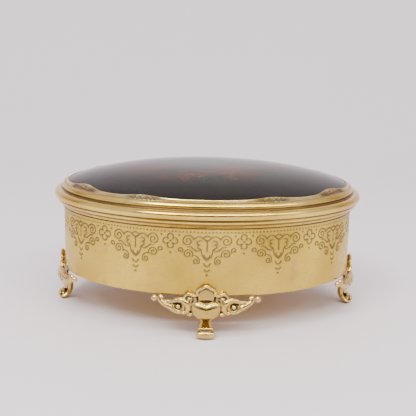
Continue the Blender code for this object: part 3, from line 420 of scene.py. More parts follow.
def gilt_material(name, bright, deep, rough, shade_dirt_attribute, grain=0.25):
    """Gilded metal: cloudy colour, specks, stains, fine grain, hairline scratches, and painted shade with
    dirt, darker and rougher, where the point attribute that it is given says so."""
    m = surface(name)
    clouds = m.noise(0.035 * PER_MM, 4.0)
    colour = m.mix(m.span(clouds, 0.35, 0.68), deep, bright)
    specks = m.span(m.noise(0.9 * PER_MM, 5.0), 0.52, 0.72)
    colour = m.mix(m.times(specks, 0.35), colour, SPECK)
    stains = m.span(m.noise(0.16 * PER_MM, 6.0, distortion=0.5), 0.62, 0.70)
    colour = m.mix(m.times(stains, 0.35), colour, STAIN)
    smudge = m.span(m.noise(0.09 * PER_MM, 5.0, (1, 1, 2.2), 1.2), 0.4, 0.7)
    roughness = m.plus(m.times(smudge, 0.09), rough)
    # painted shade and dirt: darker colour and more roughness where the attribute is high
    dark = m.attribute(shade_dirt_attribute)
    colour = m.mix(m.times(dark, 0.95), colour, SHADE_DIRT_COLOUR)
    roughness = m.plus(roughness, m.times(dark, 0.25))
    m.set(Base_Color=colour, Metallic=1.0, Roughness=roughness)
    fine = m.noise(4.5 * PER_MM, 2.0)
    hair = m.span(m.noise(1.4 * PER_MM, 2.0, (0.05, 1, 1.4), 0.4), 0.62, 0.72)
    height = m.plus(m.times(fine, grain), m.times(hair, -0.4))
    m.bump(height, 0.35, 0.03)
    return m.owner


def cast_material():
    """Gilt castings, darkened in their hollows with blackening and painted shade, and worn bright on their
    crests.
    """
    m = surface("gilt_casting")
    hollow = m.attribute("hollow")
    ragged = m.plus(hollow, m.times(m.noise(0.8 * PER_MM), 0.26))
    # blackening and painted shade in the hollows
    dark = m.span(ragged, 0.70, 0.88)
    worn = m.span(hollow, 0.5, 0.15)
    colour = m.mix(worn, CAST_DEEP, CAST_BRIGHT)
    tarnish = m.span(m.noise(0.42 * PER_MM, 5.0), 0.46, 0.64)
    colour = m.mix(m.times(tarnish, 0.4), colour, CAST_TARNISH)
    colour = m.mix(dark, colour, CAST_BLACK)
    m.set(Base_Color=colour, Metallic=m.span(dark, 0.0, 1.0, 1.0, 0.55),
          Roughness=m.plus(m.times(dark, 0.4), 0.19))
    m.bump(m.noise(1.6 * PER_MM), 0.35, 0.05)
    return m.owner


def enamel_material():
    """Deep glossy enamel with a faint lustrous pattern in its middle."""
    m = surface("dark_enamel")
    to_round = (1, 1.36, 0)  # stretches the lid's oval to a circle
    swirl = m.noise(0.055 * PER_MM, 3.0, to_round, 2.2)
    length = m.node("VectorMath")
    length.operation = "LENGTH"
    m.put(length, 0, m.where(to_round))
    radius = m.times(length.outputs["Value"], PER_MM)
    near = m.span(radius, 20.0, 56.0, 1.0, 0.0)
    wave = m.plus(m.times(radius, 0.12), m.times(swirl, 14.0))
    bands = m.math("SINE", wave)
    green = m.times(m.span(bands, 0.1, 0.9), near)
    rust = m.times(m.span(bands, -0.3, -1.0), near)
    colour = m.mix(m.times(green, 0.6), ENAMEL_BLACK, ENAMEL_GREEN)
    colour = m.mix(m.times(rust, 0.6), colour, ENAMEL_RUST)
    m.set(Base_Color=colour, Roughness=m.span(m.noise(0.05 * PER_MM, 4.0), 0.3, 0.7, 0.05, 0.10), IOR=1.2)
    m.bump(m.noise(0.05 * PER_MM), 0.12, 0.4)
    return m.owner


def brushed_metal(name, clouds, brush, tones, fleck, rough, relief):
    """Movement metal: clouds of two tones, and straight brushing flecked with a third."""
    m = surface(name)
    grain = m.noise(brush[0] * PER_MM, 3.0, brush[1])
    tint = m.mix(m.span(m.noise(clouds[0] * PER_MM, clouds[1]), 0.35, 0.7), tones[0], tones[1])
    colour = m.mix(m.span(grain, fleck[0], 0.7, 0.0, fleck[1]), tint, tones[2])
    m.set(Base_Color=colour, Metallic=1.0, Roughness=m.span(grain, 0.3, 0.7, *rough))
    m.bump(grain, *relief)
    return m.owner


def brass_material():
    tones = ((0.70, 0.50, 0.22), (0.86, 0.67, 0.36), (0.55, 0.38, 0.15))
    return brushed_metal("movement_brass", (0.05, 4.0), (2.2, (0.06, 1, 1)), tones, (0.35, 0.3),
                         (0.24, 0.38), (0.25, 0.02))


def steel_material():
    """Polished spring steel with a trace of straw and blue from tempering."""
    tones = ((0.56, 0.56, 0.58), (0.50, 0.47, 0.42), (0.36, 0.37, 0.41))
    return brushed_metal("tempered_steel", (0.07, 3.0), (2.6, (1, 0.05, 1)), tones, (0.4, 0.35),
                         (0.18, 0.32), (0.2, 0.015))


def velvet_material():
    """Short-pile velvet: crushed patches, fine pile and a soft sheen."""
    m = surface("wine_velvet")
    crush = m.span(m.noise(0.16 * PER_MM, 5.0, distortion=0.3), 0.35, 0.68)
    pile = m.noise(3.6 * PER_MM, 2.0)
    colour = m.mix(crush, (0.085, 0.007, 0.013), (0.14, 0.012, 0.022))
    m.set(Base_Color=m.mix(m.span(pile, 0.35, 0.7, 0.0, 0.4), colour, (0.045, 0.004, 0.008)), Roughness=0.92,
          Sheen_Weight=0.2, Sheen_Roughness=0.4, Sheen_Tint=(0.85, 0.2, 0.25, 1.0))
    m.bump(m.plus(pile, m.times(crush, 0.6)), 0.6, 0.18)
    return m.owner


def glass_material():
    """Clear plate glass with a faint green body and a few wiping marks."""
    m = surface("plate_glass")
    wipe = m.noise(0.06 * PER_MM, 4.0, (1, 3, 1), 0.6)
    m.set(Base_Color=m.mix(wipe, (0.93, 0.97, 0.95), (0.97, 0.99, 0.98)), Transmission_Weight=1.0, IOR=1.45,
          Roughness=m.span(wipe, 0.45, 0.8, 0.0, 0.05))
    return m.owner


WALL_BRIGHT, WALL_DEEP = (0.71, 0.515, 0.085), (0.50, 0.34, 0.04)
MOULDING_BRIGHT, MOULDING_DEEP = (0.82, 0.60, 0.15), (0.59, 0.39, 0.06)
MATERIALS = {
    "wall": gilt_material("gilt_engraved_wall", WALL_BRIGHT, WALL_DEEP, 0.27, "engraved", 0.5),
    "gilt": gilt_material("gilt_mouldings", MOULDING_BRIGHT, MOULDING_DEEP, 0.13, "crevice_shade_dirt"),
    "relief": gilt_material("gilt_relief", (0.90, 0.71, 0.32), MOULDING_DEEP, 0.2, "engraved"),
    "gilt_cast": cast_material(),
    "enamel": enamel_material(),
    "brass": brass_material(),
    "steel": steel_material(),
    "velvet": velvet_material(),
    "glass": glass_material(),
}
MATERIALS["velvet_pad"] = MATERIALS["velvet"]


def finish(obj, look, body, *nodes, slot=None):
    """Gives a piece its material and body, and hides the CAD nodes that it stands for; its slot is not used.
    """
    obj.data.materials.clear()
    obj.data.materials.append(MATERIALS[look])
    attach(obj, body)
    if nodes:
        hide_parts(*nodes)


# ---- camera, floor and light
# The places of the camera and the lamps are in metres.
CAMERA_EYE = (-0.0026, -0.4001, 0.1387)
CAMERA_AIM = (0.0004, 0.0, 0.0486)
CAMERA_ROLL = 0.0205
FOCAL, SENSOR = 69.76, 36.0
WORLD_STRENGTH = 1.14
HORIZON = (0.0, (0.84, 0.80, 0.83, 1))  # each a height in the sky and its colour
ZENITH = (0.9, (0.95, 0.93, 0.98, 1))
DIM_SHARE = 0.3  # what is left of the room's light low down in front
DARK_SHARE = 0.04  # what is left of it straight ahead
LAMPS = (
    ("key", (-0.50, -0.75, 1.05), (0.45, 0.35), 9.0),
    ("fill", (0.80, -0.65, 0.75), (0.5, 0.5), 3.0),
    ("top", (0.05, -0.42, 1.25), (1.2, 0.15), 7.0),
    ("strip", (0.05, -0.95, 0.98), (1.6, 0.06), 15.0),
)
LAMP_AIM = (0, 0, 0.04)
SWEEP_START, SWEEP_R, SWEEP_HIGH, STAGE_HALF = 344.0, 600.0, 2600.0, 9000.0  # in millimetres
TABLE_TONES = ((0.815, 0.735, 0.765), (0.835, 0.755, 0.785))


def build_camera():
    data = bpy.data.cameras.new("camera")
    data.lens = FOCAL
    data.sensor_width = SENSOR
    data.clip_start = 0.01
    camera = bpy.data.objects.new("camera", data)
    eye = Vector(CAMERA_EYE)
    turn = (Vector(CAMERA_AIM) - eye).to_track_quat("-Z", "Y").to_matrix().to_4x4()
    camera.matrix_world = Matrix.Translation(eye) @ turn @ Matrix.Rotation(CAMERA_ROLL, 4, "Z")
    bpy.context.scene.collection.objects.link(camera)
    bpy.context.scene.camera = camera


def build_stage():
    """A pale table that sweeps up behind the box into its own backdrop."""
    line = [(-STAGE_HALF, 0.0)]
    for a in np.linspace(0, math.pi / 2, 40):
        line.append((SWEEP_START + SWEEP_R * math.sin(a), SWEEP_R * (1 - math.cos(a))))
    line.append((SWEEP_START + SWEEP_R, SWEEP_HIGH))
    points = [(x, y, z) for y, z in line for x in (-STAGE_HALF, STAGE_HALF)]
    sweep = make("sweep", points, grid_faces(len(line), 2))
    m = surface("pale_table")
    tone = m.mix(m.noise(0.004 * PER_MM, 3.0), TABLE_TONES[0], TABLE_TONES[1])
    m.set(Base_Color=tone, Roughness=0.6, Specular_IOR_Level=0.2)
    sweep.data.materials.append(m.owner)


def build_room():
    """The light of the room: pale all round, and dim low down in front of the box, darkest straight ahead.
    That draws the dark line along the middle of its mouldings."""
    world = bpy.data.worlds.new("studio")
    bpy.context.scene.world = world
    m = Nodes(world, "Background")
    split = m.node("SeparateXYZ", Vector=m.node("TexCoord").outputs["Generated"])
    x, y, z = split.outputs
    ramp = m.node("ValToRGB", Fac=z)
    for end, (position, colour) in zip(ramp.color_ramp.elements, (HORIZON, ZENITH)):
        end.position = position
        end.color = colour
    low = m.times(m.span(y, -0.55, -0.90, smooth=True), m.span(z, 0.55, 0.12, smooth=True))
    dim = m.span(low, 0.0, 1.0, 1.0, DIM_SHARE, smooth=True)
    middle = m.times(m.span(m.math("ABSOLUTE", x), 0.34, 0.16, smooth=True),
                    m.span(z, 0.46, 0.34, smooth=True))
    ahead = m.times(middle, m.span(y, -0.3, -0.5, smooth=True))
    dark = m.span(ahead, 0.0, 1.0, WORLD_STRENGTH, WORLD_STRENGTH * DARK_SHARE, smooth=True)
    m.set(Color=ramp.outputs[0], Strength=m.times(dim, dark))


def build_lamps():
    for name, place, size, power in LAMPS:
        data = bpy.data.lights.new(name, "AREA")
        data.shape = "RECTANGLE"
        data.size, data.size_y = size
        data.energy = power
        lamp = bpy.data.objects.new(name, data)
        lamp.location = place
        lamp.rotation_euler = (Vector(LAMP_AIM) - Vector(place)).to_track_quat("-Z", "Y").to_euler()
        bpy.context.scene.collection.objects.link(lamp)


# ---- the engraved wall
def motif_strokes():
    """One repeat of the border, as lines in (distance from its middle, height over the wall's foot)."""
    half = [through(points) for points in (
        [(0, 25.5), (1.2, 26.2), (2.4, 27.2), (3.8, 27.6), (5.2, 27.0), (6.2, 26.2)],
        [(8.6, 22.8), (7.3, 22.8), (6.2, 22.0), (5.2, 21.1)],
        [(3.0, 25.8), (4.2, 25.3), (4.4, 24.3), (3.4, 23.9)],
        [(3.4, 23.9), (4.2, 23.2), (4.0, 22.3), (3.0, 22.0)],
        [(3.0, 22.0), (3.5, 21.0), (4.5, 20.8), (5.2, 21.4)],
        [(2.4, 20.5), (2.2, 19.3), (1.3, 17.8), (0, 16.7)],
        [(1.3, 19.2), (0.9, 18.2), (0, 17.4)],
        [(2.9, 21.6), (2.4, 20.5)],
        [(6.6, 18.4), (5.6, 18.7), (4.4, 18.3), (3.6, 17.4), (3.4, 16.4)],
        [(1.5, 15.3), (0.8, 14.3), (0, 13.8)],
        [(1.2, 12.3), (0.6, 11.7), (0, 11.5)],
        [(1.7, 27.0), (0.9, 27.7), (0, 28.0)],
        [(1.1, 26.3), (0, 25.6)],
    )]
    half += [spiral(8.7, 25.5, 2.8, 0.4, 165, -1.65), spiral(8.6, 19.5, 2.3, 0.4, -150, -1.5),
             spiral(4.9, 16.2, 1.5, 0.35, 180, 1.25), spiral(12.1, 21.2, 1.3, 0.4, 215, -0.95)]
    lines = half + [line * (-1, 1) for line in half]
    lines.append(through([(0, 25.5), (0, 23.2), (0, 20.9)]))
    for angle in (0, 90, 180, 270):
        turn = math.radians(angle)
        petal = spiral(2.0 * math.cos(turn), 25.2 + 2.0 * math.sin(turn), 1.35, 1.35, angle - 140, 280 / 360)
        lines += [petal + (TILE / 2, 0), petal - (TILE / 2, 0)]
    return lines


def motif_dots():
    """Centres and radii of the punched dots of one repeat."""
    dots = [(0, 9.8, 0.5)]
    for side in (-1, 1):
        dots += [(side * TILE / 2, 25.2, 0.5), (side * TILE / 2, 19.9, 0.42)]
        dots += [(side * (TILE / 2 - 4.0), 28.0, 0.42)]
    row = 20
    dots += [((k - row / 2 + 0.5) * TILE / row, 29.6, 0.36) for k in range(row)]
    return dots


LINE_HALF, ENGRAVING_DEPTH = 0.52, 0.32  # half an engraved line's width, and its depth
STIPPLE = 0.62  # pitch of the punched ground


def engraving(x, z):
    """How deep one repeat is cut at each point of a grid, from 0 to 1."""
    nearest = np.full(x.shape, 9.0)
    for line in motif_strokes():
        for p, q in zip(line, line[1:]):
            along = q - p
            share = np.clip(((x - p[0]) * along[0] + (z - p[1]) * along[1]) / (along.dot(along) + 1e-9), 0, 1)
            nearest = np.minimum(nearest, np.hypot(x - p[0] - share * along[0], z - p[1] - share * along[1]))
    cut = np.clip(1 - nearest / LINE_HALF, 0, 1)
    for cx, cz, r in motif_dots():
        cut = np.maximum(cut, np.clip(1.4 * (1 - np.hypot(x - cx, z - cz) / (r * 1.5)), 0, 1))
    cut = cut * cut * (3 - 2 * cut)
    ground = np.clip(1.3 - np.hypot(x / 6.6, (z - 24.6) / 4.6), 0, 1)
    rows = np.floor(z / STIPPLE)
    punched = np.cos(TAU * (x / STIPPLE + 0.5 * rows)) * np.cos(TAU * z / STIPPLE)
    return np.maximum(cut, 0.4 * np.clip(punched * 1.6, 0, 1) * np.clip(ground * 2.5, 0, 1))


def crevice_shade_and_dirt(profile, crevices, columns):
    """How much painted shade and dirt a ring gets at each of its points: 1 in a crevice, fading over half a
    millimetre.
    """
    marks = []
    for d, z in profile:
        nearest = min(math.hypot(d - e, z - h) for e, h in crevices)
        marks.append(math.exp(-((nearest / 0.42) ** 2)))
    return np.repeat(marks, columns)


BAND_LOW, BAND_HIGH = FLOOR_Z + 0.4, WALL_TOP - 4.8
SHELL_IN, SHEET_IN = -1.4, -0.65  # the wall's inner face, and the engraved sheet's


def build_shell():
    """The case's shell, from the floor up the wall, over the collar and the lip, and down inside."""
    top, z = WALL_TOP, BAND_HIGH
    collar = [(0.0, z), (0.3, z + 0.05), (0.55, z + 0.25), (0.6, z + 0.5), (0.35, z + 0.75), (0.45, z + 0.95),
              (0.75, z + 1.2), (1.15, z + 2.0), (1.9, z + 2.65), (2.15, z + 2.75), (2.15, z + 3.0)]
    rim = chaikin([(2.45, z + 3.15), (2.8, z + 3.25), (3.1, z + 3.6), (3.1, z + 4.3), (2.9, top)])
    lip_out, lip_in = -1.5, -2.3
    lip = [(lip_out, top), (lip_out, top + LIP_H - 0.2), (lip_out - 0.2, top + LIP_H),
           (lip_in + 0.2, top + LIP_H), (lip_in, top + LIP_H - 0.2)]
    deck_z, deck_in = DECK_Z - GAP, -4.3
    ledge_z, ledge_in, ledge_t = BASE_TOP + GAP, -5.6, 1.2
    inside = [(lip_in, deck_z), (deck_in, deck_z), (SHELL_IN, deck_z - 3.1), (SHELL_IN, ledge_z + ledge_t),
              (ledge_in, ledge_z + ledge_t), (ledge_in, ledge_z), (SHELL_IN, ledge_z), (SHELL_IN, FLOOR_Z)]
    foot = [(-0.2, FLOOR_Z), (0.0, BAND_LOW - 0.03), (SHEET_IN, BAND_LOW - 0.03), (SHEET_IN, z - 0.01)]
    profile = foot + collar + rim + lip + inside
    shell = ring("case_shell", profile, (top - 4.6, top + 0.1))
    # the collar's grooves, the join and the rim's top get painted shade and dirt
    crevices = ((0.35, z + 0.75), (2.0, z + 2.75), (2.9, top + 0.1), (0.0, z))
    store(shell, "crevice_shade_dirt", crevice_shade_and_dirt(profile, crevices, RING_COLUMNS))
    finish(shell, "gilt", "case", "body_shell")


def build_engraving():
    """The sheet that wraps the wall, cut with the border."""
    columns = 120
    low_part = [BAND_LOW, BAND_LOW + 4.0, BAND_LOW + 8.0]
    cut_part = np.arange(BAND_LOW + 8.3, BAND_HIGH - 0.05, 0.27)
    heights = np.concatenate([low_part, cut_part, [BAND_HIGH - 0.02]])
    x = (np.arange(columns) / columns - 0.5) * TILE
    cut = engraving(*np.meshgrid(x, heights - FLOOR_Z))
    cut = np.tile(np.roll(cut, columns // 2, axis=1), (1, REPEATS))
    s = np.arange(columns * REPEATS) * TILE / columns
    rows = [level(on_wall(s, -ENGRAVING_DEPTH * depth), z) for depth, z in zip(cut, heights)]
    rows += [level(on_wall(s, np.full(len(s), SHEET_IN + 0.05)), z) for z in (heights[-1], heights[0])]
    marks = np.vstack([cut, np.zeros((2, len(s)))])
    faces = grid_faces(len(rows), len(s), True, True)
    band = make("engraved_wall", np.array(rows).reshape(-1, 3), faces, sharp=60)
    # the cut depth also darkens the lines and the punched ground with painted shade and dirt
    store(band, "engraved", marks.ravel())
    finish(band, "wall", "case", slot="gilt")


# ---- the lid
def dome_height(xy):
    """Height of the enamel dome over points of the oval."""
    rho = np.hypot(xy[:, 0] / (WALL_A - PLAQUE_EDGE_IN), xy[:, 1] / (WALL_B - PLAQUE_EDGE_IN))
    rho = np.minimum(rho, 1.0)
    return DOME_EDGE_Z + PLAQUE_RISE * (1 - rho ** 2.6) + PLAQUE_ROLL * (1 - rho ** 30)


SCALLOP_IN = 2.4  # the rim's width between its lobes
LOBES = ((24.5, 7.0, 1.4), (57.5, 8.5, 2.9))  # each lobe's angle, width in degrees, and depth


def lobe_weights(t):
    """Pairs of (signed angle from a lobe's middle in its own widths, depth) for each of the eight lobes."""
    found = []
    for lobe, width, depth in LOBES:
        for centre in (270 - lobe, 270 + lobe, 90 - lobe, 90 + lobe):
            away = (np.degrees(t) - centre + 180) % 360 - 180
            found.append((away / width, depth))
    return found


def build_lid_frame():
    """The lid's mouldings, bottom to top: torus, fillet and ovolo."""
    z, rim_z = LID_Z, RIM_Z
    torus = chaikin([(2.9, z), (4.0, z + 0.1), (4.5, z + 1.2), (4.4, z + 2.8), (3.2, z + 3.8),
                     (1.2, z + 3.95)], 3)
    fillet = [(1.0, z + 4.1), (0.95, z + 4.3), (0.62, z + 4.4), (0.6, z + 4.6), (0.74, z + 4.75)]
    ovolo = chaikin([(0.74, z + 4.75), (0.84, z + 5.15), (0.56, z + 6.0), (0.0, z + 6.7), (-0.9, rim_z)], 3)
    profile = [(-1.2, z)] + torus + fillet + ovolo[1:] + [
        (-0.92, SEAT_Z), (-3.5, SEAT_Z), (-3.5, SEAT_Z - 1.0), (-1.2, SEAT_Z - 2.4)]
    obj = ring("lid_mouldings", profile, (z - 1, z + 4.4))
    # the joint under the torus, the fillet and the rim get painted shade and dirt
    crevices = ((2.9, z), (1.0, z + 4.1), (0.62, z + 4.5), (-0.9, rim_z))
    store(obj, "crevice_shade_dirt", crevice_shade_and_dirt(profile, crevices, RING_COLUMNS))
    finish(obj, "gilt", "lid", "lid_frame")


def leaf_relief(u, v):
    """Height of the chased foliage on a lobe: leaflets fan out from the middle of its outer edge."""
    angle = np.arctan2(u * 1.3, v + 0.12)
    r = np.hypot(u * 1.1, v)
    leaflets = 0.5 + 0.5 * np.cos(angle * 9.0)
    veins = 0.5 + 0.5 * np.cos(angle * 27.0 + r * 8.0)
    tips = np.clip(1.25 - r * (0.9 + 0.25 * np.cos(angle * 9.0)), 0, 1)
    return (0.7 * leaflets + 0.3 * veins) * tips


CHASING = 1.6  # pitch of the fine punch work between the leaves
LEAF_END = 0.84  # share of the rim's width where the foliage stops


def bezel_relief(xy, v, lobes):
    """Height of the rim's ornament at share v of its width, and how much painted shade and dirt its hollows
    get.
    """
    relief, covered = np.zeros(len(xy)), np.zeros(len(xy))
    for away, depth in lobes:
        lobe = np.exp(-(away / 1.15) ** 4) * min(1, depth / 2)
        relief += lobe * leaf_relief(away, (1 - v) * 1.3) * 0.62
        covered += lobe
    covered = np.clip(covered * 1.6, 0, 1)
    chasing = 0.5 + 0.5 * np.cos(TAU * xy[:, 0] / CHASING) * np.cos(TAU * xy[:, 1] / (1.5 * CHASING))
    relief += 0.22 * covered * (chasing - 0.2)
    bead = 0.22 * math.exp(-(((v - 0.9) / 0.08) ** 2))
    low_end = min(1.0, (1 - v) / 0.03, v / 0.08 + 0.1)
    height = 0.05 + (0.12 + relief * (v < LEAF_END) + bead) * low_end
    return height, np.clip(1.4 - relief / 0.3, 0, 1) * covered * (0.06 < v < LEAF_END)


def build_bezel():
    """The scalloped rim over the enamel, with chased foliage on its lobes and a bead on its edge."""
    columns, rows = 1440, 26
    outer_in = PLAQUE_EDGE_IN - 0.3
    t = np.arange(columns) / columns * TAU
    base, normal = oval_at(t)
    lobes = lobe_weights(t)
    reach = SCALLOP_IN + sum(depth * np.exp(-away ** 2) for away, depth in lobes)
    points, marks = [], []
    for v in np.linspace(0, 1, rows):
        xy = base - normal * (outer_in + (reach - outer_in) * v)[:, None]
        height, dark = bezel_relief(xy, v, lobes)
        points.append(level(xy, dome_height(xy) + height))
        marks.append(dark)
    for inward in (reach, np.full(columns, outer_in)):
        xy = base - normal * inward[:, None]
        points.append(level(xy, dome_height(xy) - 0.05))
        marks.append(np.ones(columns))
    obj = make("scalloped_bezel", np.vstack(points), grid_faces(len(points), columns, True, True), sharp=70)
    # the foliage's hollows and the rim's underside get painted shade and dirt
    store(obj, "engraved", np.ravel(marks))
    finish(obj, "relief", "lid", "lid_bezel", slot="gilt")


def build_plaque():
    columns, shares = 240, np.linspace(1, 0.02, 40)
    base, normal = oval_at(np.arange(columns) / columns * TAU)
    edge = base - normal * PLAQUE_EDGE_IN
    rows = [level(edge * share, SEAT_Z + GAP) for share in (0.02, 0.5, 1)]
    rows += [level(edge * share, dome_height(edge * share)) for share in shares]
    obj = make("enamel_dome", np.vstack(rows), capped_faces(len(rows), columns), sharp=50)
    finish(obj, "enamel", "lid", "enamel_plaque")


# ---- the feet
FOOT_BACK, FOOT_FRONT = GAP, 4.45  # how far out of the wall's face a foot starts and ends
HEART_OUT = 3.3  # how far the knee swells out of the ornament


def foot_line(side, *points):
    """A line on one side of a foot, from points of (distance from its middle, out, up from the wall's
    foot)."""
    return through([(side * x, y, FLOOR_Z + h) for x, y, h in points])


def foot_bead(side, x, y, h, *radii):
    return blob((side * x, y, FLOOR_Z + h), radii)


def foot_crest():
    """The roofed cartouche over the foot, between two peaked shoulders."""
    roof = foot_line(1, (-4.0, 1.6, 0.4), (-3.9, 1.8, 2.8), (-2.2, 1.9, 3.9), (0, 2.0, 5.2), (2.2, 1.9, 3.9),
                     (3.9, 1.8, 2.8), (4.0, 1.6, 0.4))
    panel = [(x, FLOOR_Z + h) for x, h in ((0, 4.6), (3.3, 2.6), (3.4, -1.4), (-3.4, -1.4), (-3.3, 2.6))]
    shapes = [tube(roof, 0.7), foot_bead(1, 0, 1.8, 5.1, 0.85, 0.9, 0.9), plate(panel, 0.4, 2.0)]
    for side in (-1, 1):
        peak = [(side * x, FLOOR_Z + h) for x, h in ((4.2, -2.2), (4.4, 0.4), (5.6, 0.8), (7.8, 1.9),
                                                     (9.4, 0.7), (10.3, -1.0), (9.2, -2.4))]
        shapes.append(plate(peak if side > 0 else peak[::-1], 0.4, 1.7))
        ridge = foot_line(side, (4.6, 1.6, 0.2), (5.9, 1.8, 0.7), (7.7, 1.9, 1.4), (9.1, 1.8, 0.5),
                          (9.9, 1.6, -0.9))
        shapes.append(tube(ridge, tapered(ridge, (0, 0.5, 1), (0.6, 0.85, 0.6))))
        shapes.append(foot_bead(side, 7.4, 1.7, -0.9, 1.2, 0.9, 0.75))
    return shapes


def foot_backing():
    """The thin web behind the ornament, which shows dark as the blackened ground and as painted shade in the
    gaps.
    """
    right = [(0, 5.2), (3.9, 2.8), (4.6, 0.6), (7.8, 1.4), (10.2, -0.6), (14.0, -1.9), (18.2, -2.7),
             (21.6, -1.2), (23.4, -1.5), (20.0, -3.2), (16.0, -5.3), (12.8, -7.8), (8.6, -7.8), (5.0, -9.4)]
    outline = right + [(-x, h) for x, h in reversed(right[1:])]
    return [plate([(x, FLOOR_Z + h) for x, h in outline], 0.35, 1.05)]


def foot_wing(side):
    """One wing: a leaf beside the knee, a C scroll round a bead, and an arm that curls up to a ball."""
    eye = spiral(12.5, FLOOR_Z - 4.7, 3.0, 2.3, 55, 0.92)
    leaf = foot_line(side, (13.6, 1.6, -1.9), (11.0, 1.9, -1.6), (8.9, 2.0, -2.8), (7.9, 2.0, -5.0),
                     (8.6, 1.8, -7.2))
    stalk = foot_line(side, (6.9, 1.6, -1.2), (7.3, 2.0, -2.4), (6.7, 2.0, -3.6))
    arm = foot_line(side, (11.6, 1.5, -7.8), (13.9, 1.6, -6.8), (16.2, 1.8, -5.0), (18.7, 1.8, -3.8),
                    (20.5, 1.7, -2.3), (20.9, 1.6, -0.9), (19.9, 1.6, -0.5))
    upper = foot_line(side, (13.4, 1.6, -1.8), (15.4, 1.8, -2.6), (17.8, 1.6, -2.7), (19.4, 1.5, -3.2))
    tip = foot_line(side, (21.0, 1.4, -1.8), (22.2, 1.5, -1.9), (23.3, 1.6, -1.7))
    return [
        tube([(side * x, 1.7, h) for x, h in eye], np.linspace(1.1, 0.85, len(eye)), 12),
        tube(leaf, tapered(leaf, (0, 0.5, 1), (0.95, 1.6, 1.2)), 12),
        tube(stalk, 0.9),
        tube(arm, tapered(arm, (0, 0.35, 0.7, 1), (0.9, 1.5, 1.1, 0.8)), 12),
        tube(upper, np.linspace(1.0, 0.6, len(upper))),
        tube(tip, 0.65, 8),
        foot_bead(side, 12.4, 1.6, -4.8, 1.2, 1.3, 1.2),
        foot_bead(side, 9.7, 1.8, -7.4, 1.6, 1.3, 1.0),
        foot_bead(side, 7.2, 1.7, -8.3, 1.3, 1.2, 0.9),
        foot_bead(side, 19.9, 1.7, -0.9, 0.9, 0.95, 0.85),
        foot_bead(side, 23.4, 1.7, -1.6, 1.5, 1.4, 1.5),
    ]


def foot_knee():
    """The heart-shaped knee: one swelling with a notch in the middle of its top."""
    half = through([(0, 9.0), (3.1, 9.5), (5.6, 11.3), (6.95, 14.0), (6.8, 16.6), (4.9, 18.0), (2.6, 18.1),
                    (1.0, 17.7), (0, 17.4)], 5)
    outline = np.vstack([half, (half[1:-1] * (-1, 1))[::-1]])
    centre = np.array([0.0, 13.4])
    back_y, rim_y = 0.3, 1.25
    rows = [(outline, back_y)]
    for share in (1.0, 0.985, 0.95, 0.88, 0.78, 0.65, 0.5, 0.33, 0.16):
        rows.append((centre + (outline - centre) * share, rim_y + HEART_OUT * (1 - share ** 2) ** 0.5))
    points = np.vstack([np.insert(spots, 1, y, axis=1) for spots, y in rows])
    return [(points, capped_faces(len(rows), len(outline)))]


def foot_leg():
    """The neck, which bends in, sweeps out to the toe and rolls up into a scroll."""
    path = through([(0, 1.1, 12.4), (0, -0.1, 10.4), (0, -1.2, 8.2), (0, -1.6, 6.0), (0, -1.2, 3.9),
                    (0, -0.1, 2.2), (0, 1.5, 1.5), (0, 2.9, 1.9), (0, 3.3, 2.9), (0, 2.7, 3.6)])
    widths = tapered(path, (0, 0.1, 0.25, 0.4, 0.6, 0.75, 1), (4.6, 3.5, 2.75, 3.1, 4.3, 4.4, 3.9))
    depths = tapered(path, (0, 0.1, 0.3, 0.55, 0.8, 1), (2.4, 2.1, 1.8, 1.6, 1.15, 0.8))
    collar = [(-3.5, 1.5, 4.75), (-2.6, 1.6, 4.95), (2.6, 1.6, 4.95), (3.5, 1.5, 4.75)]
    return [tube(path, depths, 20, wide=widths / depths), blob((0, 1.4, 2.9), (3.9, 1.6, 1.3), 12, 24),
            tube(collar, (0.5, 0.72, 0.72, 0.5), 12)]


WING_FROM, WING_TO = 9.0, 21.0  # where a wing starts and ends, from the middle of its foot
SIDE_STRETCH = 6.0  # how much further the side feet's wings reach round the oval's tight ends


def build_feet():
    """One casting is sculpted flat, then bent to the wall at each end of the two axes."""
    shapes = foot_backing() + foot_crest() + foot_wing(-1) + foot_wing(1) + foot_knee() + foot_leg()
    flat = make("foot_pattern", *gather(shapes))
    remeshed(flat, FOOT_VOXEL)
    points = averaged(mesh_points(flat), edge_array(flat), 2)
    above = points[:, 2] > FLOOR_Z - 0.2
    points[above, 1] = np.maximum(points[above, 1], FOOT_BACK)
    points[:, 1] = np.minimum(points[:, 1], FOOT_FRONT)
    points[:, 2] = np.maximum(points[:, 2], 0.0)
    set_points(flat, points)
    store_hollows(flat)
    for name, share in FOOT_STARTS.items():
        obj = bpy.data.objects.new(name.replace("foot", "cast_foot"), flat.data.copy())
        bpy.context.scene.collection.objects.link(obj)
        reach = SIDE_STRETCH if name in ("foot_left", "foot_right") else 0.0
        ease = np.clip((abs(points[:, 0]) - WING_FROM) / (WING_TO - WING_FROM), 0, 1)
        run = points[:, 0] + np.sign(points[:, 0]) * reach * ease * ease * (3 - 2 * ease)
        set_points(obj, level(on_wall(share * PERIMETER + run, points[:, 1]), points[:, 2]))
        obj.data.shade_smooth()
        finish(obj, "gilt_cast", "case", name)
    bpy.data.objects.remove(flat)


# ---- deck, window and jewel well
FRAME_W, FLANGE_W = 3.0, 1.8
WINDOW_IN, WELL_IN = 8.0, 8.2
WINDOW_X = corners("window_frame")[1].x - FRAME_W
WELL_X = corners("well_liner")[0].x + FLANGE_W


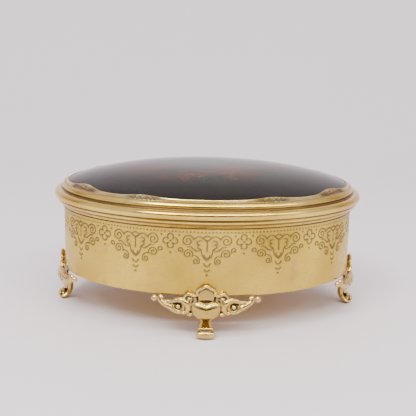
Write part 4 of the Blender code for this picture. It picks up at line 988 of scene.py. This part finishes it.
def half_oval(side, cut_x, inset, grow):
    """The inset oval beyond x = cut_x on one side, with round corners, moved out by grow."""
    steps, corner, bends = 60, 5.0, 10
    a, b = WALL_A - inset + grow, WALL_B - inset + grow
    limit = math.acos(max(-0.95, min(0.95, (side * cut_x - grow) / a)))
    t = np.linspace(-1, 1, steps + 1) * (limit - corner / b)
    arc = np.stack([a * np.cos(t), b * np.sin(t)], -1)
    tip = np.array([a * math.cos(limit), b * math.sin(limit)])
    u = np.linspace(0, 1, bends + 1)[1:, None]
    bend = (1 - u) ** 2 * arc[-1] + 2 * u * (1 - u) * tip + u * u * (tip - (0, corner))
    return np.vstack([arc, bend, (bend * (1, -1))[::-1]]) * (side, 1)


def window(grow):
    return half_oval(-1, WINDOW_X, WINDOW_IN, grow)


def well(grow):
    return half_oval(1, WELL_X, WELL_IN, grow)


def whole_oval(d):
    columns = 160
    return on_wall(np.arange(columns) * PERIMETER / columns, np.full(columns, d))


def loft(name, loops, wrapped=False, sharp=40):
    """A surface through loops of equal point counts, capped at its ends or joined back onto its start."""
    n = len(loops[0])
    faces = grid_faces(len(loops), n, True, True) if wrapped else capped_faces(len(loops), n)
    return make(name, np.array(loops).reshape(-1, 3), faces, sharp=sharp)


def build_window():
    """The glass over the movement in its moulded frame."""
    low = corners("window_pane")[0].z
    pane = [(1.4, low), (1.5, low + 0.12), (1.5, low + 1.28), (1.38, low + 1.4)]
    finish(loft("glass_pane", [level(window(d), z) for d, z in pane]), "glass", "case", "window_pane")
    moulding = chaikin([(3.0, low + 0.1), (3.0, low + 1.3), (2.7, low + 2.3), (1.7, low + 2.4),
                        (1.3, low + 1.9), (0.2, low + 1.9)])
    profile = [(1.8, low), (3.0, low)] + moulding[1:] + [(0.2, low + 1.7), (1.8, low + 1.7)]
    frame_ring = loft("window_moulding", [level(window(d), z) for d, z in profile], wrapped=True)
    # the moulding's step and foot get painted shade and dirt
    store(frame_ring, "crevice_shade_dirt", crevice_shade_and_dirt(profile, ((1.3, low + 1.9), (3.0, low)), len(window(0))))
    finish(frame_ring, "gilt", "case", "window_frame")


def build_well():
    """The velvet lining of the jewel well, with a rolled lip."""
    low, high = corners("well_liner")
    lip = chaikin([(1.8, high.z - 0.8), (1.8, high.z), (0.2, high.z), (-1.5, high.z),
                   (-1.5, high.z - 1.6)], 3)
    profile = [(-0.3, low.z), (-0.3, high.z - 0.8)] + lip + [
        (-1.5, low.z + 9.0), (-1.5, low.z + 1.5), (-1.8, low.z + 1.2), (-12.0, low.z + 1.2)]
    finish(loft("well_lining", [level(well(d), z) for d, z in profile]), "velvet", "case", "well_liner")


def build_board():
    """The velvet-covered board inside the lid."""
    low, high = corners("lid_board")
    edge = [(-4.4, low.z), (-4.0, low.z + 0.1), (-3.9, low.z + 0.35), (-3.9, high.z - 0.1), (-4.1, high.z)]
    finish(loft("lid_lining", [level(whole_oval(d), z) for d, z in edge]), "velvet", "lid", "lid_board")


CLOTH_SCALE = 5.0  # the pads are simulated larger, since cloth settings suit furniture
CLOTH_FRAMES, CLOTH_PRESSURE = 20, 4.0


def blown_up(pad, start, swell):
    """The points of a pad after cloth simulation under inner pressure, none moved further than swell."""
    set_points(pad, start * CLOTH_SCALE)
    cloth = pad.modifiers.new("cloth", "CLOTH")
    settings = cloth.settings
    settings.quality = 4
    settings.mass = 0.3
    settings.use_pressure = True
    settings.uniform_pressure_force = CLOTH_PRESSURE
    settings.effector_weights.gravity = 0.0
    cloth.point_cache.frame_start = 1
    cloth.point_cache.frame_end = CLOTH_FRAMES
    for number in range(1, CLOTH_FRAMES + 1):
        bpy.context.scene.frame_set(number)
    evaluated(pad)
    moved = mesh_points(pad) / CLOTH_SCALE - start
    bpy.context.scene.frame_set(1)
    length = np.linalg.norm(moved, axis=1, keepdims=True)
    return start + moved * np.minimum(1.0, swell / (length + 1e-9))


def build_piping(name, body, cord):
    """A round cord along the closed line of points round a pad's edge."""
    sides, radius = 10, 0.6
    ahead = np.roll(cord, -1, axis=0) - np.roll(cord, 1, axis=0)
    ahead /= np.linalg.norm(ahead, axis=1, keepdims=True)
    across = np.stack([ahead[:, 1], -ahead[:, 0], np.zeros(len(cord))], -1)
    up = np.array([0, 0, 1.0])
    angles = [TAU * k / sides for k in range(sides)]
    rows = [cord + radius * (across * math.cos(a) + up * math.sin(a)) for a in angles]
    piping = make(name, np.vstack(rows), grid_faces(sides, len(cord), True, True))
    finish(piping, "velvet_pad", body)


def build_pad(name, node, body, outline, flat_z, crown_z, swell):
    """A velvet pad that rests flat at flat_z and crowns towards crown_z, with a piped edge."""
    side = 1 if crown_z > flat_z else -1
    edge, inner = outline(-swell), outline(-swell - 0.8)
    top = crown_z - side * swell
    pad = loft(name, [level(inner, flat_z), level(edge, flat_z + side * 0.3), level(edge, top - side * 0.3),
                      level(inner, top)], sharp=None)
    remeshed(pad, PAD_VOXEL)
    start = mesh_points(pad)
    points = blown_up(pad, start, swell)
    points[:, 2] = np.clip(points[:, 2], min(flat_z, crown_z), max(flat_z, crown_z))
    set_points(pad, points)
    pad.modifiers.new("fine", "SUBSURF").levels = 1
    evaluated(pad)
    pad.data.shade_smooth()
    finish(pad, "velvet_pad", body, node)
    build_piping(name + "_piping", body, level(outline(-0.75), flat_z + side * 0.75))


def build_pads():
    low, high = corners("well_pad")
    build_pad("well_cushion", "well_pad", "case", lambda d: well(d - 1.9), low.z, high.z, 1.5)
    low, high = corners("lid_pad")
    build_pad("lid_cushion", "lid_pad", "lid", lambda d: whole_oval(d - 12.0), high.z, low.z, 1.2)


# ---- the hinge
KNUCKLE_R, KNUCKLES, LEAF_T = 1.4, 5, 0.9


def build_hinge():
    """Two leaves with rolled knuckles, softened as drawn brass is."""
    axis_y = WALL_B + 4.9
    axis_z = WALL_TOP + GAP / 2
    for node, body, first, side in (("hinge_leaf_case", "case", 0, -1), ("hinge_leaf_lid", "lid", 1, 1)):
        low, high = corners(node)
        span = 2 * round(high.x) / KNUCKLES
        leaf_z = (low.z, axis_z - 0.4) if side < 0 else (axis_z + 0.4, high.z)
        shapes = [plate(box_outline(low.x, high.x, *leaf_z), low.y, low.y + LEAF_T)]
        tongue_z = sorted((axis_z + side * 0.42, axis_z + side * 1.3))
        for number in range(first, KNUCKLES, 2):
            x0 = -span * KNUCKLES / 2 + number * span + GAP / 2
            x1 = x0 + span - GAP
            shapes.append(plate(box_outline(x0, x1, *tongue_z), low.y + 0.1, axis_y))
            shapes.append(tube([(x0, axis_y, axis_z), (x1, axis_y, axis_z)], KNUCKLE_R, 40))
        obj = make(node.replace("leaf", "plate"), *gather(shapes))
        remeshed(obj, HINGE_VOXEL)
        points = averaged(mesh_points(obj), edge_array(obj), 2)
        set_points(obj, np.clip(points, np.array(low), np.array(high)))
        store_hollows(obj)
        finish(obj, "gilt_cast", body, node, slot="gilt")


# ---- screws
def turned(profile, sides=28):
    """Points and faces of a solid turned round Z from a line of (radius, height), bottom to top."""
    points = [(r * math.cos(TAU * k / sides), r * math.sin(TAU * k / sides), z) for r, z in profile
              for k in range(sides)]
    return points, capped_faces(len(profile), sides)


def build_screws():
    """Every fastener gets a domed head with a cut slot and a chamfered shank."""
    for node in [n for n in frame["nodes"] if "screw" in n]:
        low, high = corners(node)
        middle, head_r = (low + high) / 2, (high.x - low.x) / 2
        upside_down = low.z < FLOOR_Z
        length = high.z - low.z
        head_h = 1.3 if head_r > 1.6 else 1.0
        shank = length - head_h
        profile = [(0.55, 0), (0.78, 0.25), (0.78, shank), (head_r - 0.15, shank + 0.01),
                   (head_r, shank + 0.15)]
        profile += [(head_r * math.cos(a), shank + head_h - 0.5 + 0.5 * math.sin(a))
                    for a in np.linspace(0, 1.45, 7)]
        obj = make(node.replace("screw", "slotted_screw"), *turned(profile), sharp=35)
        groove = box_outline(-0.25, 0.25, length - 0.45, length + 1)
        cutter = make("groove", *plate(groove, -3, 3), smooth=False)
        slot_cut = obj.modifiers.new("slot", "BOOLEAN")
        slot_cut.operation, slot_cut.solver, slot_cut.object = "DIFFERENCE", "EXACT", cutter
        evaluated(obj)
        bpy.data.objects.remove(cutter)
        turn = Matrix.Rotation(RNG.uniform(0, math.pi), 4, "Z")
        if upside_down:
            turn = turn @ Matrix.Rotation(math.pi, 4, "X")
        tip = Vector((middle.x, middle.y, high.z if upside_down else low.z))
        obj.data.transform(Matrix.Translation(tip * MM) @ turn)
        finish(obj, "steel", "case", node)


# ---- key and cylinder
def build_key():
    """The winding key under the case: a barrelled stem and two ring wings."""
    low, high = corners("winding_key")
    x, top = (low.x + high.x) / 2, high.z
    stem = turned([(1.6, 9.6), (2.3, 10.2), (2.5, 11.2), (2.2, 12.2), (2.2, 14.6), (2.9, 15.2), (2.9, 16.0),
                   (2.4, 16.6), (2.4, 17.9), (2.8, 18.3), (2.8, top)], 36)
    shapes = [([(px + x, py, pz) for px, py, pz in stem[0]], stem[1])]
    for side in (-1, 1):
        loop = [(x + side * 5.7 + 3.4 * math.cos(a), 0, low.z + 4.75 + 3.4 * math.sin(a))
                for a in np.linspace(0, TAU, 41)]
        shapes.append(tube(loop, 1.3, 14, wide=0.75))
    obj = make("ring_key", *gather(shapes))
    remeshed(obj, KEY_VOXEL)
    points = averaged(mesh_points(obj), edge_array(obj), 3)
    set_points(obj, np.clip(points, np.array(low), np.array(high)))
    finish(obj, "brass", "key", "winding_key")


PIN_COUNT = 420


def build_cylinder():
    """The musical cylinder with its hundreds of pins, ranked under the comb's teeth."""
    low, high = corners("cylinder")
    axis_z, r = (corners("cylinder_arbor")[0].z + corners("cylinder_arbor")[1].z) / 2, 6.5
    ends = turned([(5.6, 0.0), (6.3, 0.0), (r, 0.2), (r, high.x - low.x - 0.2), (6.3, high.x - low.x),
                   (5.6, high.x - low.x)], 72)
    shapes = [([(low.x + z, x, axis_z + y) for x, y, z in ends[0]], ends[1])]
    tracks = 18
    for _ in range(PIN_COUNT):
        track, angle = RNG.integers(tracks), RNG.uniform(0, TAU)
        x = low.x + 1.0 + track * (high.x - low.x - 2.0) / (tracks - 1)
        out = np.array([0, math.cos(angle), math.sin(angle)])
        foot = np.array([x, 0, axis_z]) + out * (r - 0.1)
        shapes.append(tube([foot, foot + out * 0.58], (0.2, 0.13), 6))
    obj = make("pinned_cylinder", *gather(shapes), sharp=50)
    finish(obj, "brass", "cylinder", "cylinder")


# ---- everything that stays as CAD
def dress_cad_nodes():
    """The other CAD nodes keep their shape and get a finished material."""
    slots = {entry["node"]: entry["material_slot"] for entry in frame["record"]["subparts"]}
    for name, obj in frame["nodes"].items():
        if not obj.hide_render:
            obj.data.materials.clear()
            obj.data.materials.append(MATERIALS[slots[name]])


def main():
    for build in (build_camera, build_stage, build_room, build_lamps, build_shell, build_engraving,
                  build_lid_frame, build_bezel, build_plaque, build_feet, build_window, build_well,
                  build_board, build_pads, build_hinge, build_screws, build_key, build_cylinder,
                  dress_cad_nodes):
        build()


main()
